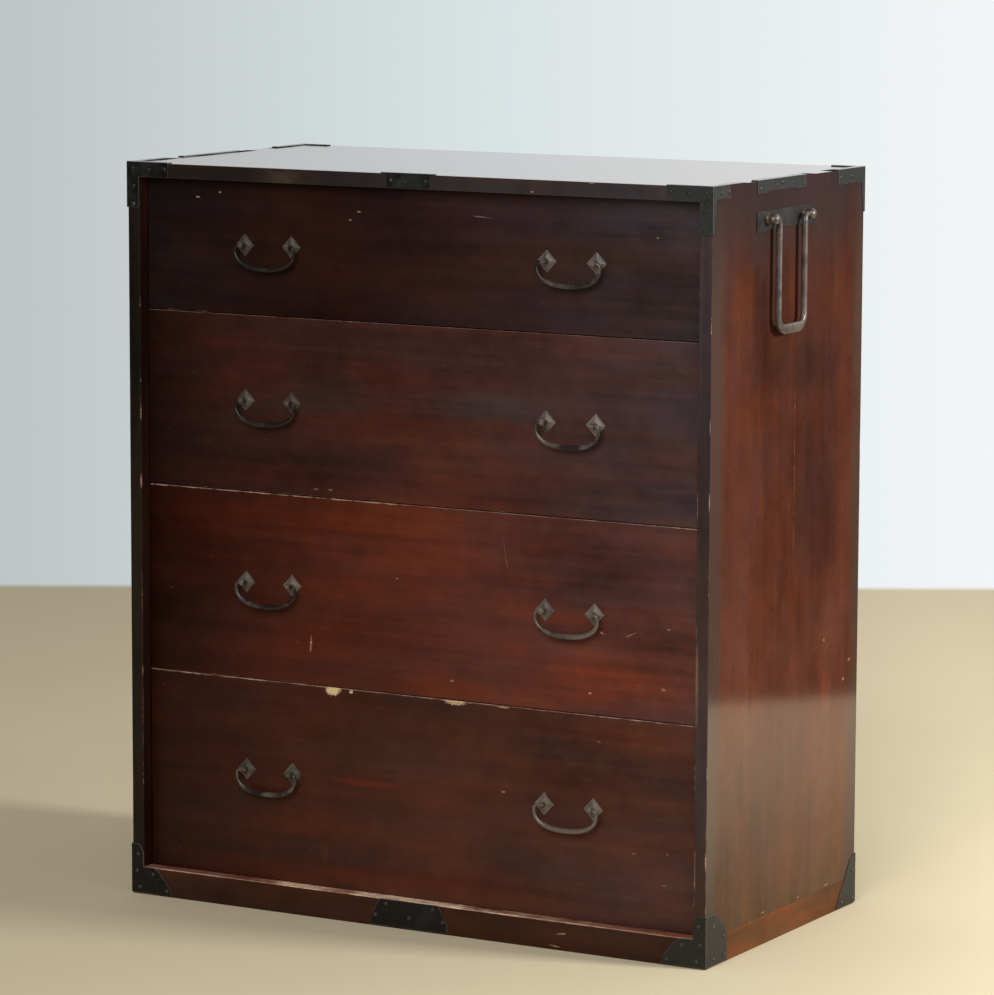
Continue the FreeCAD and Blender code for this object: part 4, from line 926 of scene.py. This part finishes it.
for hand, sign in HANDS:
    mount = "side_handle_mount_" + hand
    mount_low, mount_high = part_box(mount)
    seat_x, pivot_y = sign * HALF_WIDTH, (mount_low.y + mount_high.y) / 2
    pivot_z = top_high.z - HANDLE_BELOW_TOP
    rims = [np.insert(PLATE_OUTLINE - inset * np.sign(PLATE_OUTLINE) + (pivot_y, pivot_z), 0,
                      seat_x + sign * rise, axis=1) for rise, inset in PLATE_RIMS]
    plate = mesh_piece("side_handle_plate_" + hand, [lofted(np.array(rims))], plate_iron, "case",
                       [mount])
    plate.data.shade_flat()
    studs = [lofted(turned_profile(STUD_PROFILE, (seat_x, y, pivot_z), (sign, 0, 0), STUD_SIDES))
             for y in (pivot_y - STUD_SPACING / 2, pivot_y + STUD_SPACING / 2)]
    mesh_piece("side_handle_studs_" + hand, studs, handle_iron, "case", [mount])
    pivot = (seat_x + sign * HANDLE_STANDOFF, pivot_y, pivot_z)
    bail = forged_bar(pivot, (0, 1, 0), (1, 0, 0), *handle_path)
    mesh_piece("side_bail_{}_forged".format(hand), [bail], handle_iron, "carry_" + hand,
               ["side_bail_" + hand])


# Camera. It stands well back and a little above the chest, to the right of the front, with a long
# lens, so that parallel edges hardly run together.

CAMERA_PLACE = (3.1854, -5.6154, 1.4837)
CAMERA_LENS = 166.965
CAMERA_SENSOR = 36.0
azimuth, elevation, roll = radians(29.521), radians(7.988), radians(0.207)
back = np.array((sin(azimuth) * cos(elevation), -cos(azimuth) * cos(elevation), sin(elevation)))
right = np.array((cos(azimuth), sin(azimuth), 0.0))
up = np.cross(back, right)
camera_data = bpy.data.cameras.new("camera")
camera_data.sensor_width = CAMERA_SENSOR
camera_data.lens = CAMERA_LENS
camera = bpy.data.objects.new("camera", camera_data)
bpy.context.scene.collection.objects.link(camera)
turned_right = cos(roll) * right + sin(roll) * up
turned_up = cos(roll) * up - sin(roll) * right
columns = np.column_stack((turned_right, turned_up, back, CAMERA_PLACE))
camera.matrix_world = Matrix(np.vstack((columns, (0, 0, 0, 1))).tolist())
bpy.context.scene.camera = camera
bpy.context.scene.view_settings.view_transform = "Standard"


# Studio. The chest stands on a plain pale floor that ends in a pale wall, both painted darker away from
# the window on the right: painted light, which on the floor adds to the lamp's own falloff. In reflections
# the floor ends nearer by, and the room beyond is dark.

FLOOR_RADIUS = 3.2
FLOOR_RINGS = 8
FLOOR_SIDES = 64
FLOOR_END = 2.84
FLOOR_FADE = 0.07
MIRROR_SLOPES = (0.765, 0.643)
MIRROR_NEARER = 0.82
radius = np.linspace(0.0, FLOOR_RADIUS, FLOOR_RINGS + 1)[1:]
turn = 2 * pi * np.arange(FLOOR_SIDES) / FLOOR_SIDES
floor_rings = np.stack((np.outer(radius, np.cos(turn)), np.outer(radius, np.sin(turn)),
                        np.zeros((FLOOR_RINGS, FLOOR_SIDES))), -1)
points, faces = lofted(floor_rings)
floor_mesh = bpy.data.meshes.new("floor")
floor_mesh.from_pydata(points.tolist(), [], faces[:-1])
floor_paint = bpy.data.materials.new("floor paint")
floor_paint.use_nodes = True
floor_mesh.materials.append(floor_paint)
floor = bpy.data.objects.new("floor", floor_mesh)
bpy.context.scene.collection.objects.link(floor)
floor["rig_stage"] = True
tree = floor_paint.node_tree
tree.nodes.clear()
place = Wire(tree).add("TexCoord", output="Object")
is_camera = place.add("LightPath", output="Is Camera Ray")
x, y, z = place.parts()
depth = y * cos(azimuth) - x * sin(azimuth)
across = x * cos(azimuth) + y * sin(azimuth)
mirrored_depth = x.off(0.0) * MIRROR_SLOPES[0] + y.off(0.0) * MIRROR_SLOPES[1] + MIRROR_NEARER
shown = (is_camera * depth + (1.0 - is_camera) * mirrored_depth).ease(FLOOR_END, FLOOR_END - FLOOR_FADE)
mottle = place.noise(1.5, 5.0, 3.0, 0.6)
paint = mottle.blend(seen(206, 192, 160), seen(214, 200, 170))
# Painted light: the floor paint is brighter towards the window lamp on the right and further back.
painted_lamp_light = across.ease(-1.1, 0.9) * 0.26 + across.ease(0.35, 0.9) * 0.22 + 0.71
paint = paint.scaled(painted_lamp_light * (depth.ease(-0.6, 1.6) * 0.19 + 0.96))
matt = place.add("BsdfDiffuse", inputs={"Color": paint})
clear = place.add("BsdfTransparent")
mixed = place.add("MixShader", inputs={0: shown, 1: clear, 2: matt})
tree.links.new(mixed.socket, tree.nodes.new("ShaderNodeOutputMaterial").inputs["Surface"])

world = bpy.data.worlds.new("studio")
bpy.context.scene.world = world
world.use_nodes = True
tree = world.node_tree
tree.nodes.clear()
direction = Wire(tree).add("TexCoord", output="Generated")
paths = direction.add("LightPath").socket.node
is_camera, is_glossy, is_transmission = (Wire(tree, paths.outputs[name]) for name in
                                         ("Is Camera Ray", "Is Glossy Ray", "Is Transmission Ray"))
sideways, behind, height = direction.parts()
toward_window = sideways * cos(azimuth) + behind * sin(azimuth)
# Painted light: the wall paint grows paler towards the window on the right.
wall = toward_window.ease(-0.30, 0.24).tones([(0.0, seen(160, 168, 170)), (0.32, seen(192, 200, 200)),
                                              (0.59, seen(218, 227, 229)), (1.0, seen(254, 255, 255))])
mirrored_wall = wall.tinted((0.93, 0.885, 0.88))
mirrored = (height.ease(-0.03, 0.01) * behind.ease(0.1, 0.5)).blend(seen(34, 30, 28), mirrored_wall)
soft_light = height.ease(-1.0, 1.0).blend((0.33, 0.33, 0.34, 1), (0.48, 0.49, 0.50, 1))
light = (is_glossy.most(is_transmission)).blend(soft_light, mirrored)
light = is_camera.blend(light, wall)
background = light.add("Background", inputs={"Color": light, "Strength": 1.0})
tree.links.new(background.socket, tree.nodes.new("ShaderNodeOutputWorld").inputs["Surface"])


def soft_lamp(name, place, aim, size, power, tint):
    """A square soft box at a place, turned to its aim."""
    lamp = bpy.data.lights.new(name, "AREA")
    lamp.shape = "SQUARE"
    lamp.size = size
    lamp.energy = power
    lamp.color = tint
    holder = bpy.data.objects.new(name, lamp)
    bpy.context.scene.collection.objects.link(holder)
    back = np.array(place, float) - np.array(aim, float)
    back /= np.linalg.norm(back)
    right = np.cross((0, 0, 1), back)
    right /= np.linalg.norm(right)
    columns = np.column_stack((right, np.cross(back, right), back, place))
    holder.matrix_world = Matrix(np.vstack((columns, (0, 0, 0, 1))).tolist())


soft_lamp("window right", (3.9, 0.6, 1.9), (0.46, 0.0, 0.5), 0.8, 182.0, (1.0, 0.99, 0.97))
soft_lamp("front fill", (0.9, -3.9, 2.9), (0.0, 0.0, 0.5), 2.4, 128.0, (1.0, 0.99, 0.98))


low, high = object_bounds()
